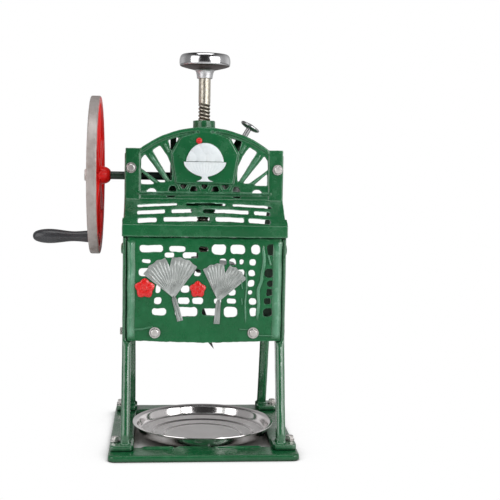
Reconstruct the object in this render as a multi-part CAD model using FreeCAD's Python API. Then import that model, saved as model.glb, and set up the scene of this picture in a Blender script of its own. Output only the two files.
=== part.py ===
import FreeCAD, Part
import math
import os
from FreeCAD import Vector

# Hand cranked ice shaver. Millimetres, +Z up, -Y is the front, the feed spindle stands on X = 0, Y = 0,
# and Z = 0 is the face that the base rests on. A size called half is measured from X = 0.

os.makedirs("parts", exist_ok=True)

# ---- clearances -------------------------------------------------------------------------------------
fixedGap = 0.02         # radial gap of parts that are pressed or screwed together
runGap = 0.05           # radial gap of shafts that turn or slide in their bores
axialPlay = 0.2         # end play of turning parts
boltGap = 0.2           # radial gap of bolts in plain holes

# ---- body -------------------------------------------------------------------------------------------
frameInner = 104.0      # inner face of a side frame
frameThick = 14.0
frameDepth = 84.0       # front and rear faces of the body, from the spindle
bodyBottom = 160.0      # height of the legs
bodyHeight = 167.0      # from there to the ledge of the hood
hoodRise = 37.0
headRise = 73.0         # from the hood to the top of the corner blocks
headDepth = 42.0        # head reaches as far to the front and the rear
castWall = 7.0
archHalfWidth = 95.0
archHeight = 32.0
webRecess = 5.0
rimWidth = 12.0
ribStarts = (-86.0, -28.0, 30.0)
ribRun = 88.0
rayAngles = (50, 75, 105, 130)
rearStep = 8.0          # rear edge of a frame at the ledge and at the bottom, behind the body
rearLean = 22.0

# ---- legs and base ----------------------------------------------------------------------------------
legThick = 20.0
rearLegInset = 2.0      # rear legs stand this much further in
frontLegSpread = 36.0   # front feet stand this far before the panel
rearLegSpread = 64.0    # rear feet stand this far behind the body
footThick = 8.0
footReach = 15.0        # feet reach this far beyond the frames
footBoltEdge = 7.0
frontFootBoltInset = 22.0
rearFootBoltInset = 20.0
baseThick = 9.0
baseCorner = 10.0
baseRound = 2.5
baseSideEdge = 2.0      # base around the feet
baseFrontEdge = 27.0
baseRearEdge = 7.0
openRear = 118.0
lipHeight = 2.0
lipWidth = 4.0
lipSpans = ((-86, -44), (-36, 8), (16, 82))
grooveSpans = ((-84, -44), (-16, -2), (18, 60))

# ---- head and front panel ---------------------------------------------------------------------------
ledgeReach = 3.0        # hood stands this far before the panel
ledgeFlare = 1.0        # and this far beyond the frames
ledgeDrop = 17.0
plaqueThick = 3.5
bossRise = 11.5         # spindle boss above the arch
bossWall = 4.95
lugThick = 9.0
lugWall = 2.95
panelThick = 6.0
panelInset = 6.5        # edge of the panel inside the outer face of the frame
panelDrop = 2.6
panelGap = 0.6
reliefThick = 3.0
plaqueReliefThick = 2.2

# ---- drive ------------------------------------------------------------------------------------------
axleRise = 32.0         # axle above the shoulder of the head
axleRadius = 6.0
axleInnerEnd = -21.5
axleNeckRadius = 4.5
axleShoulder = -40.8    # inside of this the axle is turned down for the pinion
gearModule = 1.6
gearTeeth = 42
pinionTeeth = 14
gearFace = 11.0
toothRise = 0.8         # addendum over module
toothDrop = 1.12        # dedendum over module
gearToothHalf = 0.65    # half thickness of a tooth at the pitch line, over module
pinionToothHalf = 0.5625
toothFlank = 0.44       # sideways over height of a flank
rootLand = 0.012        # blank reaches past the teeth by this share of the outer cone
pinPlace = 38.0
pinRadius = 1.5
bushWall = 2.0
bearingReach = 10.0     # outer bearing inside the frame
bearingWall = 8.95
wheelStandOff = 35.8    # from the frame to the wheel
wheelWidth = 14.4
wheelRadius = 118.0
wheelRimDepth = 13.0
wheelSpokes = 6
hubWall = 6.8
crankRadius = 92.5
crankPinRadius = 4.5
gripLength = 84.7
gripGap = 0.6

# ---- feed -------------------------------------------------------------------------------------------
spindleRadius = 9.0
neckRadius = 6.0
spindleRise = 93.5      # spindle above its boss
spindleTail = 16.0      # below the top of the presser
keyWidth = 5.0
keyGap = 0.1
keywayDepth = 3.0
hubWallFeed = 6.0       # hubs of gear and nut, around the spindle
journalWall = 4.0
bridgeDrop = 28.0       # top of the bridge below the axle
bridgeThick = 10.0
bridgeBossDepth = 25.0
bridgeBossWall = 3.75
bridgeStepRadius = 30.0
bridgeScrewY = 14.0
guardHalf = 62.0        # wall behind the gear
guardHeight = 19.0
guardThick = 4.0
gearWebLift = 2.0
gearHubHeight = 17.0
nutGap = 1.4            # pinion to the flange of the nut
nutRise = 6.8           # nut above its flange
nutFlangeThick = 7.2
nutFlangeRadius = 33.5
nutNotches = 12
nutNotchWidth = 9.4
nutNotchDepth = 6.0
nutWasherThick = 2.0
collarHeight = 5.3
collarWall = 4.5
handwheelRadius = 38.3
handwheelDrop = 4.0     # middle of the handwheel below the tip of the spindle
presserLift = 106.0     # top of the presser above the bed
presserRadius = 50.0
presserThick = 9.0
presserSeat = 3.0
spikeLength = 12.0
lockRodRadius = 4.0
lockLength = 59.0
lockTilt = 59.8         # lock rod, degrees from level
lockClear = 4.0         # tip above the flange of the nut, and outside of it
lockReach = 6.25

# ---- blade bed and dish -----------------------------------------------------------------------------
bedThick = 8.0
bedInset = 9.0
bedRim = 12.0
bedRimHeight = 16.0
bedFlangeThick = 7.0
bedFlangeHeight = 24.0
bedScrewLift = 8.0
bedScrewPlaces = (-50.0, 50.0)
wellRadius = 72.0
slotInner = 8.0
slotOuter = 68.0
slotFront = -14.0
slotRear = 8.0
bladeThick = 2.5
bladeFront = -5.0
bladeRear = 36.0
clampThick = 4.0
bladeScrewPlaces = (22.0, 54.0)
bladeScrewY = 24.0
leverX = 5.0
leverLift = 17.0
leverThick = 3.0
dishCentreX = 3.6
dishCentreY = -11.5
dishRadius = 107.0
dishHeight = 24.0
dishSeatInset = 14.6    # wall of the dish at the height of the base, inside the rim
dishFrontGap = 3.1
dishSideGap = 7.6

# ---- fasteners --------------------------------------------------------------------------------------
boltRadius = 3.0
boltHeadAcross = 10.0
boltHeadHeight = 4.0
washerRadius = 7.6
washerThick = 1.5
smallHeadAcross = 9.0
nutAcross = 18.0
headBoltInset = 4.0     # head bolts inside the frames' inner faces, and above the shoulder
headBoltRise = 44.0
panelBoltX = 71.0
panelBoltRise = 12.0

# ---- places that follow from the sizes above --------------------------------------------------------
frameOuter = frameInner + frameThick
frameFront = -frameDepth
ledgeTop = bodyBottom + bodyHeight
shoulderTop = ledgeTop + hoodRise
headHeight = shoulderTop + headRise
frameTop = headHeight - castWall
headInnerFront = castWall - headDepth
headHalfWidth = frameOuter - 1.5
archRadius = (archHalfWidth ** 2 + archHeight ** 2) / (2 * archHeight)
panelBack = frameFront
panelFront = panelBack - panelThick
panelHalfWidth = frameOuter - panelInset
panelBottom = bodyBottom - 0.4
ledgeFront = panelFront - ledgeReach
ledgeHalfWidth = frameOuter + ledgeFlare
ledgeBottom = ledgeTop - ledgeDrop
panelTop = ledgeBottom - 1.0
hoodSlope = hoodRise / (-headDepth - ledgeFront)
hoodDropInside = castWall * math.sqrt(1 + hoodSlope ** 2)
frameLedgeTop = ledgeTop + (frameFront - ledgeFront) * hoodSlope - hoodDropInside
frameShoulder = shoulderTop + castWall * hoodSlope - hoodDropInside
frontFoot = panelFront - frontLegSpread
rearFoot = frameDepth + rearLegSpread
footOuter = frameOuter + footReach
footBoltX = footOuter - footBoltEdge
footTop = baseThick + footThick
frontFootBoltY = frontFoot + frontFootBoltInset
rearFootBoltY = rearFoot - rearFootBoltInset
baseHalfWidth = footOuter + baseSideEdge
baseFront = frontFoot - baseFrontEdge
baseRear = rearFoot + baseRearEdge
dishSeatRadius = dishRadius - dishSeatInset
openFront = dishCentreY - dishSeatRadius - dishFrontGap
openHalfWidth = dishSeatRadius + dishSideGap

axleHeight = shoulderTop + axleRise
bushOuter = axleRadius + runGap + bushWall
lugStart = axleShoulder - 0.7 - lugThick
wheelInnerFace = -frameOuter - wheelStandOff
wheelOuterFace = wheelInnerFace - wheelWidth
wheelCentre = (wheelInnerFace + wheelOuterFace) / 2
wheelHubRadius = axleRadius + hubWall
axleOuterEnd = wheelOuterFace - 9.8
crankHeight = axleHeight - crankRadius
crankBossFace = wheelOuterFace - 1
gripRoot = crankBossFace - gripGap
gripTip = gripRoot - gripLength
gearPitchRadius = gearModule * gearTeeth / 2
pinionPitchRadius = gearModule * pinionTeeth / 2
outerCone = math.hypot(gearPitchRadius, pinionPitchRadius)
gearAngle = math.degrees(math.atan2(gearPitchRadius, pinionPitchRadius))
pinionAngle = 90 - gearAngle
nearShare = 1 - gearFace / outerCone
pinionTipRadius = pinionPitchRadius + toothRise * gearModule * math.cos(math.radians(pinionAngle))

bridgeTop = axleHeight - bridgeDrop
bridgeBossBottom = bridgeTop - bridgeBossDepth
bridgeScrewHeight = bridgeTop - bridgeThick / 2
guardTop = bridgeTop + guardHeight
hubRadius = spindleRadius + hubWallFeed
journalRadius = spindleRadius + journalWall
gearBushOuter = journalRadius + runGap + bushWall
bridgeBossRadius = gearBushOuter + bridgeBossWall
gearWebBottom = bridgeTop + gearWebLift
gearHubTop = bridgeTop + gearHubHeight
collarTop = bridgeBossBottom - axialPlay
collarBottom = collarTop - collarHeight
collarMiddle = (collarBottom + collarTop) / 2
collarRadius = journalRadius + collarWall
keyBottom = bridgeBossBottom + 3.0
keyTop = gearHubTop - 2.0
keyOuter = spindleRadius + 2.4
nutFlangeBottom = axleHeight + pinionTipRadius + nutGap
nutFlangeTop = nutFlangeBottom + nutFlangeThick
nutTop = nutFlangeTop + nutRise
nutNotchRoot = nutFlangeRadius - nutNotchDepth
bossBottom = nutTop + nutWasherThick + axialPlay
bossTop = headHeight + archHeight + bossRise
spindleBushOuter = spindleRadius + runGap + bushWall + 1
bossRadius = spindleBushOuter + bossWall
presserTop = bodyBottom + presserLift
presserBottom = presserTop - presserThick
spindleBottom = presserTop - spindleTail
spindleTop = bossTop + spindleRise
keywayBottom = spindleBottom + 29.0
keywayTop = spindleTop - 68.0
handwheelMid = spindleTop - handwheelDrop
handwheelSeat = handwheelMid - 21.0
handwheelBottom = handwheelMid - 27.0
lockAxis = (-math.cos(math.radians(lockTilt)), 0, -math.sin(math.radians(lockTilt)))
lockKnobX = nutFlangeRadius + lockReach - lockAxis[0] * lockLength
lockKnobZ = nutFlangeTop + lockClear - lockAxis[2] * lockLength

bedBottom = bodyBottom
bedTop = bedBottom + bedThick
bedDepth = frameDepth - bedInset
bedHalfWidth = frameInner - bedInset
bedFlangeBack = panelBack + bedFlangeThick
bedFlangeTop = bedBottom + bedFlangeHeight
bedScrewHeight = bedBottom + bedScrewLift
bladeBottom = bedBottom - bladeThick
clampBottom = bladeBottom - clampThick
leverZ = bodyBottom + leverLift
leverFront = bedFlangeBack + axialPlay
headBoltX = frameInner + headBoltInset
headBoltZ = shoulderTop + headBoltRise
panelBoltZ = bodyBottom + panelBoltRise


# ---- drawing helpers --------------------------------------------------------------------------------
def block(x0, x1, y0, y1, z0, z1):
    return Part.makeBox(x1 - x0, y1 - y0, z1 - z0, Vector(x0, y0, z0))


def cylinder(start, axis, radius, length):
    return Part.makeCylinder(radius, length, Vector(*start), Vector(*axis))


def ring(start, axis, outer, inner, length):
    return cylinder(start, axis, outer, length).cut(cylinder(start, axis, inner, length))


def turned(profile, start, axis):
    """Solid of revolution: profile is a list of (radius, height along the axis from start)."""
    wire = Part.makePolygon([Vector(r, 0, h) for r, h in profile] + [Vector(profile[0][0], 0, profile[0][1])])
    body = Part.Face(wire).revolve(Vector(0, 0, 0), Vector(0, 0, 1), 360)
    body.Placement = FreeCAD.Placement(Vector(*start), FreeCAD.Rotation(Vector(0, 0, 1), Vector(*axis)))
    return body


def outline(points, place):
    """Closed wire through the points; a triple (u, v, True) is the middle of an arc."""
    edges = []
    closed = points + [points[0]]
    i = 0
    while i < len(closed) - 1:
        here = place(closed[i][0], closed[i][1])
        if len(closed[i + 1]) == 3:
            mid = place(closed[i + 1][0], closed[i + 1][1])
            there = place(closed[i + 2][0], closed[i + 2][1])
            edges.append(Part.Arc(here, mid, there).toShape())
            i += 2
        else:
            there = place(closed[i + 1][0], closed[i + 1][1])
            edges.append(Part.LineSegment(here, there).toShape())
            i += 1
    return Part.Wire(edges)


def slabXZ(points, y0, y1):
    wire = outline(points, lambda u, v: Vector(u, y0, v))
    return Part.Face(wire).extrude(Vector(0, y1 - y0, 0))


def slabYZ(points, x0, x1):
    wire = outline(points, lambda u, v: Vector(x0, u, v))
    return Part.Face(wire).extrude(Vector(x1 - x0, 0, 0))


def slabXY(points, z0, z1):
    wire = outline(points, lambda u, v: Vector(u, v, z0))
    return Part.Face(wire).extrude(Vector(0, 0, z1 - z0))


def roundedRect(u0, u1, v0, v1, r):
    """Outline points of a rectangle with rounded corners."""
    k = r * (1 - math.sqrt(0.5))
    return [
        (u0 + r, v0), (u1 - r, v0), (u1 - k, v0 + k, True), (u1, v0 + r),
        (u1, v1 - r), (u1 - k, v1 - k, True), (u1 - r, v1),
        (u0 + r, v1), (u0 + k, v1 - k, True), (u0, v1 - r),
        (u0, v0 + r), (u0 + k, v0 + k, True),
    ]


def mirrorX(shape):
    return shape.mirror(Vector(0, 0, 0), Vector(1, 0, 0))


def hexHead(start, axis, across, height):
    points = []
    for i in range(6):
        a = math.radians(60 * i + 30)
        points.append(Vector(across / math.sqrt(3) * math.cos(a), across / math.sqrt(3) * math.sin(a), 0))
    head = Part.Face(Part.makePolygon(points + [points[0]])).extrude(Vector(0, 0, height))
    crown = turned([(0, -1), (across * 0.62, -1), (across * 0.62, height * 0.72), (across * 0.44, height),
                    (0, height)], (0, 0, 0), (0, 0, 1))
    head = head.common(crown)
    head.Placement = FreeCAD.Placement(Vector(*start), FreeCAD.Rotation(Vector(0, 0, 1), Vector(*axis)))
    return head


def bolt(seat, axis, radius, length, across, headHeight):
    """Hexagon bolt: the head stands on seat and points along axis, the shank runs the other way."""
    back = (-axis[0], -axis[1], -axis[2])
    return hexHead(seat, axis, across, headHeight).fuse(cylinder(seat, back, radius, length))


def save(name, shape):
    if isinstance(shape, list):
        shape = Part.makeCompound(shape)
    solids = shape.Solids
    print(name, "solids", len(solids), "valid", shape.isValid(), "volume", round(shape.Volume, 1))
    if len(solids) == 1:
        shape = solids[0]
    else:
        shape = Part.makeCompound(solids)
    shape.exportStep("parts/" + name + ".step")


# ---- base -------------------------------------------------------------------------------------------
def baseFrame():
    plate = slabXY(roundedRect(-baseHalfWidth, baseHalfWidth, baseFront, baseRear, baseCorner), 0, baseThick)
    topEdges = [e for e in plate.Edges if all(abs(v.Z - baseThick) < 1e-6 for v in e.Vertexes)]
    plate = plate.makeFillet(baseRound, topEdges)
    plate = plate.cut(slabXY(roundedRect(-openHalfWidth, openHalfWidth, openFront, openRear, baseCorner / 2),
                            -1, baseThick + 1))
    for x0, x1 in lipSpans:
        lip = block(x0, x1, openFront - lipWidth, openFront, baseThick - 1, baseThick + lipHeight)
        plate = plate.fuse(lip)
    for x0, x1 in grooveSpans:
        groove = block(x0, x1, openFront - lipWidth - 6, openFront - lipWidth - 2,
                       baseThick - 1.5, baseThick + 1)
        plate = plate.cut(groove)
    for x in (-footBoltX, footBoltX):
        for y in (frontFootBoltY, rearFootBoltY):
            plate = plate.cut(cylinder((x, y, -1), (0, 0, 1), boltRadius + runGap, baseThick + 2))
    return plate.removeSplitter()


# ---- side frames ------------------------------------------------------------------------------------
def frameBody(x0, x1):
    points = [
        (frameFront, bodyBottom), (frameFront, frameLedgeTop), (headInnerFront, frameShoulder),
        (headInnerFront, frameTop), (headDepth, frameTop), (headDepth, shoulderTop - castWall),
        (frameDepth + rearStep, frameLedgeTop), (frameDepth + rearLean, bodyBottom),
    ]
    return slabYZ(points, x0, x1)


def legs(x0, x1):
    frontTop = panelFront + panelThick / 2
    kneeHeight = (bodyBottom + baseThick) / 2 - 4.5
    front = slabYZ([
        (frontTop, bodyBottom), (frontTop - legThick, kneeHeight - 2, True), (frontFoot, baseThick),
        (frontFoot + legThick, baseThick), (frontTop, kneeHeight + 2, True),
        (frontTop + legThick + 4, bodyBottom + 6),
        (frontTop, bodyBottom + 6),
    ], x0 + 1, x1)
    front = front.cut(block(x0 - 1, panelHalfWidth + panelGap, baseFront, frameFront,
                            panelBottom - 1, bodyBottom + 10))
    rearTop = frameDepth + rearLean
    rear = slabYZ([
        (rearTop, bodyBottom + 6), (rearTop, bodyBottom), (rearTop + legThick - 2, kneeHeight + 4, True),
        (rearFoot, baseThick), (rearFoot - legThick, baseThick), (rearTop - 1, kneeHeight, True),
        (rearTop - legThick - 2, bodyBottom + 6),
    ], x0 - rearLegInset, x1 - rearLegInset)
    return front.fuse(rear)


def webPockets():
    """Recesses in the outer face, inside a raised rim."""
    split = ledgeTop - 24
    lower = slabYZ([
        (frameFront + rimWidth, bodyBottom + 18), (frameFront + rimWidth, split - 5),
        (frameDepth - 4, split - 5),
        (frameDepth + 5, bodyBottom + 18),
    ], frameOuter - webRecess, frameOuter + 1)
    upper = slabYZ([
        (frameFront + rimWidth, split + 5), (headInnerFront + 11, frameShoulder - 12),
        (headInnerFront + 11, frameTop - rimWidth), (headDepth - rimWidth, frameTop - rimWidth),
        (headDepth - rimWidth, shoulderTop - 16), (frameDepth - 6, split + 5),
    ], frameOuter - webRecess, frameOuter + 1)
    return lower, upper


def webRibs():
    """Diagonal ribs in the lower recess, and rays in the upper one."""
    inside = frameOuter - webRecess - 0.5
    low = bodyBottom + 10
    high = ledgeTop - 21
    ribs = []
    for start in ribStarts:
        for y0, y1 in ((start, start + ribRun), (start + ribRun, start)):
            ribs.append(slabYZ([(y0 - 3.5, low), (y0 + 3.5, low), (y1 + 3.5, high), (y1 - 3.5, high)],
                               inside, frameOuter - 1.5))
    for angle in rayAngles:
        a = math.radians(angle)
        u = Vector(0, math.cos(a), math.sin(a))
        side = Vector(0, -u.z, u.y) * 3
        base = Vector(inside, 4, ledgeTop - 27)
        pts = [base + side, base - side, base - side + u * 52, base + side + u * 52]
        face = Part.Face(Part.makePolygon(pts + [pts[0]]))
        ribs.append(face.extrude(Vector(webRecess - 1.0, 0, 0)))
    return ribs


def sideFrame(withBearing):
    """Right-hand frame; the left one is its mirror image, and carries the axle's bearing."""
    frame = frameBody(frameInner, frameOuter).fuse(legs(frameInner, frameOuter))
    lowerPocket, upperPocket = webPockets()
    ribs = Part.makeCompound(webRibs()).common(lowerPocket.fuse(upperPocket))
    frame = frame.cut(lowerPocket).cut(upperPocket)
    for rib in ribs.Solids:
        frame = frame.fuse(rib)
    post = block(panelHalfWidth + panelGap, frameOuter, panelFront + panelThick / 2, frameFront,
                 bodyBottom, panelTop)
    frame = frame.fuse(post)
    for y0, y1 in ((frontFoot - 5, frontFootBoltY + 18), (rearFootBoltY - 20, rearFoot + 3)):
        foot = slabXY(roundedRect(frameInner - 5, footOuter, y0, y1, 6), baseThick, footTop)
        frame = frame.fuse(foot)
    lug = block(frameInner - 7, frameOuter, headInnerFront, headInnerFront + 20, headBoltZ - 11, headBoltZ + 11)
    frame = frame.fuse(lug)
    frame = frame.fuse(cylinder((frameOuter - 4, frameFront + 18, ledgeTop - 36), (1, 0, 0), 8, 7))
    through = frameThick + bearingReach + 2
    if withBearing:
        boss = cylinder((frameInner - bearingReach, 0, axleHeight), (1, 0, 0), bushOuter + bearingWall,
                        frameThick + bearingReach)
        frame = frame.fuse(boss)
        frame = frame.cut(cylinder((frameInner - bearingReach - 1, 0, axleHeight), (1, 0, 0),
                                   bushOuter + fixedGap, through))
    frame = frame.cut(cylinder((headBoltX, headInnerFront - 1, headBoltZ), (0, 1, 0), boltRadius + runGap, 19))
    for y in (-bridgeScrewY, bridgeScrewY):
        hole = cylinder((frameInner - 1, y, bridgeScrewHeight), (1, 0, 0), boltRadius + boltGap, through)
        frame = frame.cut(hole)
    for y in bedScrewPlaces:
        hole = cylinder((frameInner - 1, y, bedScrewHeight), (1, 0, 0), boltRadius + boltGap, through)
        frame = frame.cut(hole)
    for y in (frontFootBoltY, rearFootBoltY):
        frame = frame.cut(cylinder((footBoltX, y, 0), (0, 0, 1), boltRadius + boltGap, footTop + 1))
    return frame.removeSplitter()


# ---- head casting -----------------------------------------------------------------------------------
def archZ(x, inset=0.0):
    """Height of the arch at x, inset towards its centre."""
    centre = headHeight + archHeight - archRadius
    return centre + math.sqrt((archRadius - inset) ** 2 - x ** 2)


def archBand(x0, inset, thick, y0, y1):
    """Part of the arch between -x0 and x0, thick wide, inset from the outer edge."""
    outer = inset
    inner = inset + thick
    return slabXZ([
        (-x0, archZ(x0, outer)), (0, archZ(0, outer), True), (x0, archZ(x0, outer)),
        (x0, archZ(x0, inner)), (0, archZ(0, inner), True), (-x0, archZ(x0, inner)),
    ], y0, y1)


def archedSlot(x0, x1, z, height, rise, depth0, depth1):
    """Slot along X that follows a slow arch, which is rise above z at X = 0."""
    def lift(x):
        return z + rise * (1 - (x / archHalfWidth) ** 2)

    xm = (x0 + x1) / 2
    h = height / 2
    return slabXZ([
        (x0, lift(x0) - h), (xm, lift(xm) - h, True), (x1, lift(x1) - h),
        (x1, lift(x1) + h), (xm, lift(xm) + h, True), (x0, lift(x0) + h),
    ], depth0, depth1)


# heights from the shoulder of the head
rayHoles = [
    [(77, 70), (66, 77), (56, 63), (49.5, 48), (46.5, 25), (50, 25)],
    [(88, 64), (93, 57), (93.5, 44), (66, 23.5), (57, 23.5)],
    [(93, 38), (93, 20.5), (73, 20.5)],
    [(54, 85), (38, 90), (49.5, 69)],
    [(70.5, 5.8), (85.5, 5.8), (84.5, 11, True), (78, 14), (71.5, 11, True)],
]
plaquePoints = [(-42, 22), (42, 22), (49, 66), (36, 89), (0, 97.5, True), (-36, 89), (-49, 66)]
plaqueBack = [(-49, 21), (49, 21), (47, 66), (-47, 66)]
# each row: distance before the head, depth under the hood's face, height, spans along X
hoodRows = [
    (12.5, 2.3, 2.9, ((-98, -40), (-27, 31), (41, 98))),
    (24.7, 2.7, 4.7, ((-98, -58), (-48.5, -19), (-2, 64), (72, 95))),
    (39.0, 3.2, 5.8, ((-97, -70), (-60, 6), (15, 56), (63, 94))),
]


def raised(points, height):
    """The same outline, this much higher."""
    return [(p[0], p[1] + height) + tuple(p[2:]) for p in points]


def headFront():
    wall = slabXZ([
        (-headHalfWidth, shoulderTop), (-headHalfWidth, headHeight), (-archHalfWidth, headHeight),
        (0, headHeight + archHeight, True), (archHalfWidth, headHeight), (headHalfWidth, headHeight),
        (headHalfWidth, shoulderTop),
    ], -headDepth, headInnerFront)
    front = -headDepth - 1
    back = headInnerFront + 1
    cuts = []
    for points in rayHoles:
        hole = slabXZ(raised(points, shoulderTop), front, back)
        cuts += [hole, mirrorX(hole)]
    for x in (-47, -16, 16, 47):
        tooth = [(x - 6.2, 11), (x + 6.2, 11), (x + 3, 18), (x - 3, 18)]
        cuts.append(slabXZ(raised(tooth, shoulderTop), front, back))
    for x in (-31, 0, 31):
        tooth = [(x - 6, 20.6), (x - 1.2, 14.6), (x + 1.2, 14.6), (x + 6, 20.6)]
        cuts.append(slabXZ(raised(tooth, shoulderTop), front, back))
    for x0, x1 in ((-56, -14), (10, 54)):
        cuts.append(archedSlot(x0, x1, shoulderTop + 1.6, 1.8, 1.5, front, back))
    wall = wall.cut(cuts)
    rim = archBand(archHalfWidth - 1, 0, 6, -headDepth - 2.5, -headDepth)
    plaque = slabXZ(raised(plaquePoints, shoulderTop), -headDepth - plaqueThick, -headDepth)
    plaque = plaque.fuse(slabXZ(raised(plaqueBack, shoulderTop), -headDepth, headInnerFront))
    wall = wall.fuse([rim, plaque])
    for side in (-1, 1):
        x0, x1 = sorted((side * (archHalfWidth + 0.5), side * headHalfWidth))
        wall = wall.fuse(block(x0, x1, -headDepth - 1.5, -headDepth, shoulderTop, headHeight))
    rib = block(-headHalfWidth + 18, headHalfWidth - 18, -headDepth - 2, -headDepth,
                shoulderTop + 7, shoulderTop + 9.5)
    return wall.fuse(rib)


def hood():
    points = [
        (-headDepth, shoulderTop), (ledgeFront, ledgeTop), (ledgeFront, ledgeBottom), (frameFront, ledgeBottom),
        (frameFront, frameLedgeTop), (headInnerFront, frameShoulder), (headInnerFront, shoulderTop + 1),
        (-headDepth, shoulderTop + 1),
    ]
    shell = slabYZ(points, -headHalfWidth, headHalfWidth)
    flare = slabYZ([(ledgeFront, ledgeBottom), (ledgeFront, ledgeTop),
                    (ledgeFront + 14, ledgeTop + 14 * hoodSlope),
                    (frameFront, frameLedgeTop), (frameFront, ledgeBottom)], -ledgeHalfWidth, ledgeHalfWidth)
    shell = shell.fuse(flare)
    cuts = []
    for reach, sink, height, spans in hoodRows:
        y = -headDepth - reach
        z = shoulderTop - reach * hoodSlope - sink
        for x0, x1 in spans:
            cuts.append(archedSlot(x0, x1, z, height, 3.2, y - 16, y + 22))
    return shell.cut(cuts)


def headCasting():
    head = headFront().fuse(hood())
    roof = archBand(archHalfWidth, 0, castWall, -headDepth, headDepth)
    for side in (-1, 1):
        x0, x1 = sorted((side * (archHalfWidth - 2), side * headHalfWidth))
        roof = roof.fuse(block(x0, x1, -headDepth, headDepth, frameTop, headHeight))
    boss = cylinder((0, 0, bossBottom), (0, 0, 1), bossRadius, bossTop - bossBottom)
    lugRadius = bushOuter + lugWall
    lug = block(lugStart, lugStart + lugThick, -lugRadius, lugRadius, axleHeight, archZ(lugStart, castWall) + 1)
    lug = lug.fuse(cylinder((lugStart, 0, axleHeight), (1, 0, 0), lugRadius, lugThick))
    guide = cylinder(lockPoint(17.5), lockAxis, lockRodRadius + 4.5, 24)
    webBottom = bossBottom + 2
    web = slabXZ([(-36, webBottom), (-36, archZ(36, 4)), (0, archZ(0, 4), True), (36, archZ(36, 4)),
                  (20, webBottom)], -4, 4)
    head = head.fuse([roof, boss, lug, guide, web])
    head = head.cut([
        cylinder((0, 0, bossBottom - 1), (0, 0, 1), spindleBushOuter + fixedGap, bossTop),
        cylinder((lugStart - 1, 0, axleHeight), (1, 0, 0), bushOuter + fixedGap, lugThick + 2),
        cylinder(lockPoint(10), lockAxis, lockRodRadius + runGap, 50),
    ])
    for side in (-1, 1):
        hole = cylinder((side * headBoltX, -headDepth - 5, headBoltZ), (0, 1, 0), boltRadius + boltGap, 20)
        head = head.cut(hole)
    return head.removeSplitter()


def lockPoint(distance):
    """Point on the lock rod's axis, this far from the knob's centre towards the nut."""
    return (lockKnobX + lockAxis[0] * distance, 0, lockKnobZ + lockAxis[2] * distance)


# ---- front panel ------------------------------------------------------------------------------------
latticeHoles = [
    # height above the bottom of the body, (middle x, width, height) ...
    (133, (-77, 33, 10), (-40, 23, 8), (-2, 13, 7), (20, 20, 14), (47, 20, 13), (73, 12, 13), (95, 9, 16)),
    (124, (-51, 13, 7), (-21, 22, 8)),
    (115, (-84, 12, 5), (26, 10, 9), (40, 9, 9), (53, 6, 7), (69, 9, 9)),
    (99, (-85, 19, 11), (-25, 7, 9), (-11, 10, 10), (52, 9, 10), (68, 9, 9), (93, 12, 13)),
    (84, (39, 7, 9), (67, 9, 10), (95, 9, 9)),
    (75, (-67, 6, 12), (-28, 12, 10)),
    (71, (26, 7, 7), (40, 10, 9), (66, 6, 6), (94, 8, 10)),
    (58, (-67, 10, 10), (-30, 16, 10), (-10, 16, 9), (19, 10, 7), (39, 13, 7), (70, 10, 9), (91, 10, 9)),
    (42, (-65, 20, 10), (-26, 32, 13), (8, 23, 10), (38, 19, 15), (71, 10, 12), (92, 13, 12)),
]


def latticeHole(x, z, width, height):
    r = min(width, height) * 0.38
    return slabXZ(roundedRect(x - width / 2, x + width / 2, z - height / 2, z + height / 2, r),
                  panelFront - 1, panelBack + 1)


def frontPanel():
    panel = slabXZ([
        (-panelHalfWidth, panelBottom), (-panelHalfWidth, panelTop), (panelHalfWidth, panelTop),
        (panelHalfWidth, panelBottom), (10, panelBottom - panelDrop), (-4, panelBottom - panelDrop),
    ], panelFront, panelBack)
    frontSides = [e for e in panel.Edges if all(
        abs(v.Y - panelFront) < 1e-6 and abs(abs(v.X) - panelHalfWidth) < 1e-6 for v in e.Vertexes)]
    panel = panel.makeFillet(4.0, frontSides)
    cuts = []
    for row in latticeHoles:
        for x, width, height in row[1:]:
            cuts.append(latticeHole(x, bodyBottom + row[0], width, height))
    for side in (-1, 1):
        cuts.append(cylinder((side * panelBoltX, panelFront - 1, panelBoltZ), (0, 1, 0), boltRadius + boltGap,
                             panelThick + 2))
    return panel.cut(cuts)


# ---- reliefs ----------------------------------------------------------------------------------------
bowlPoints = [(-31, 54), (-22, 38, True), (-5, 33), (-4, 29), (-13, 25.5), (13, 25.5), (4, 29), (5, 33),
              (22, 38, True), (31, 54)]
icePoints = [(-28, 55.5), (-27, 64, True), (-17, 67), (-15, 76, True), (-4, 79), (2, 83, True), (8, 79),
             (17, 75, True), (18, 67), (27, 64, True), (28, 55.5)]


def plaqueRelief(points):
    """Raised shape on the plaque; heights are from the shoulder of the head."""
    back = -headDepth - plaqueThick
    return slabXZ(raised(points, shoulderTop), back - plaqueReliefThick, back)


def cherryRelief():
    back = -headDepth - plaqueThick
    return cylinder((-9, back - 3.0, shoulderTop + 85), (0, 1, 0), 4.6, 3.0)


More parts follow.
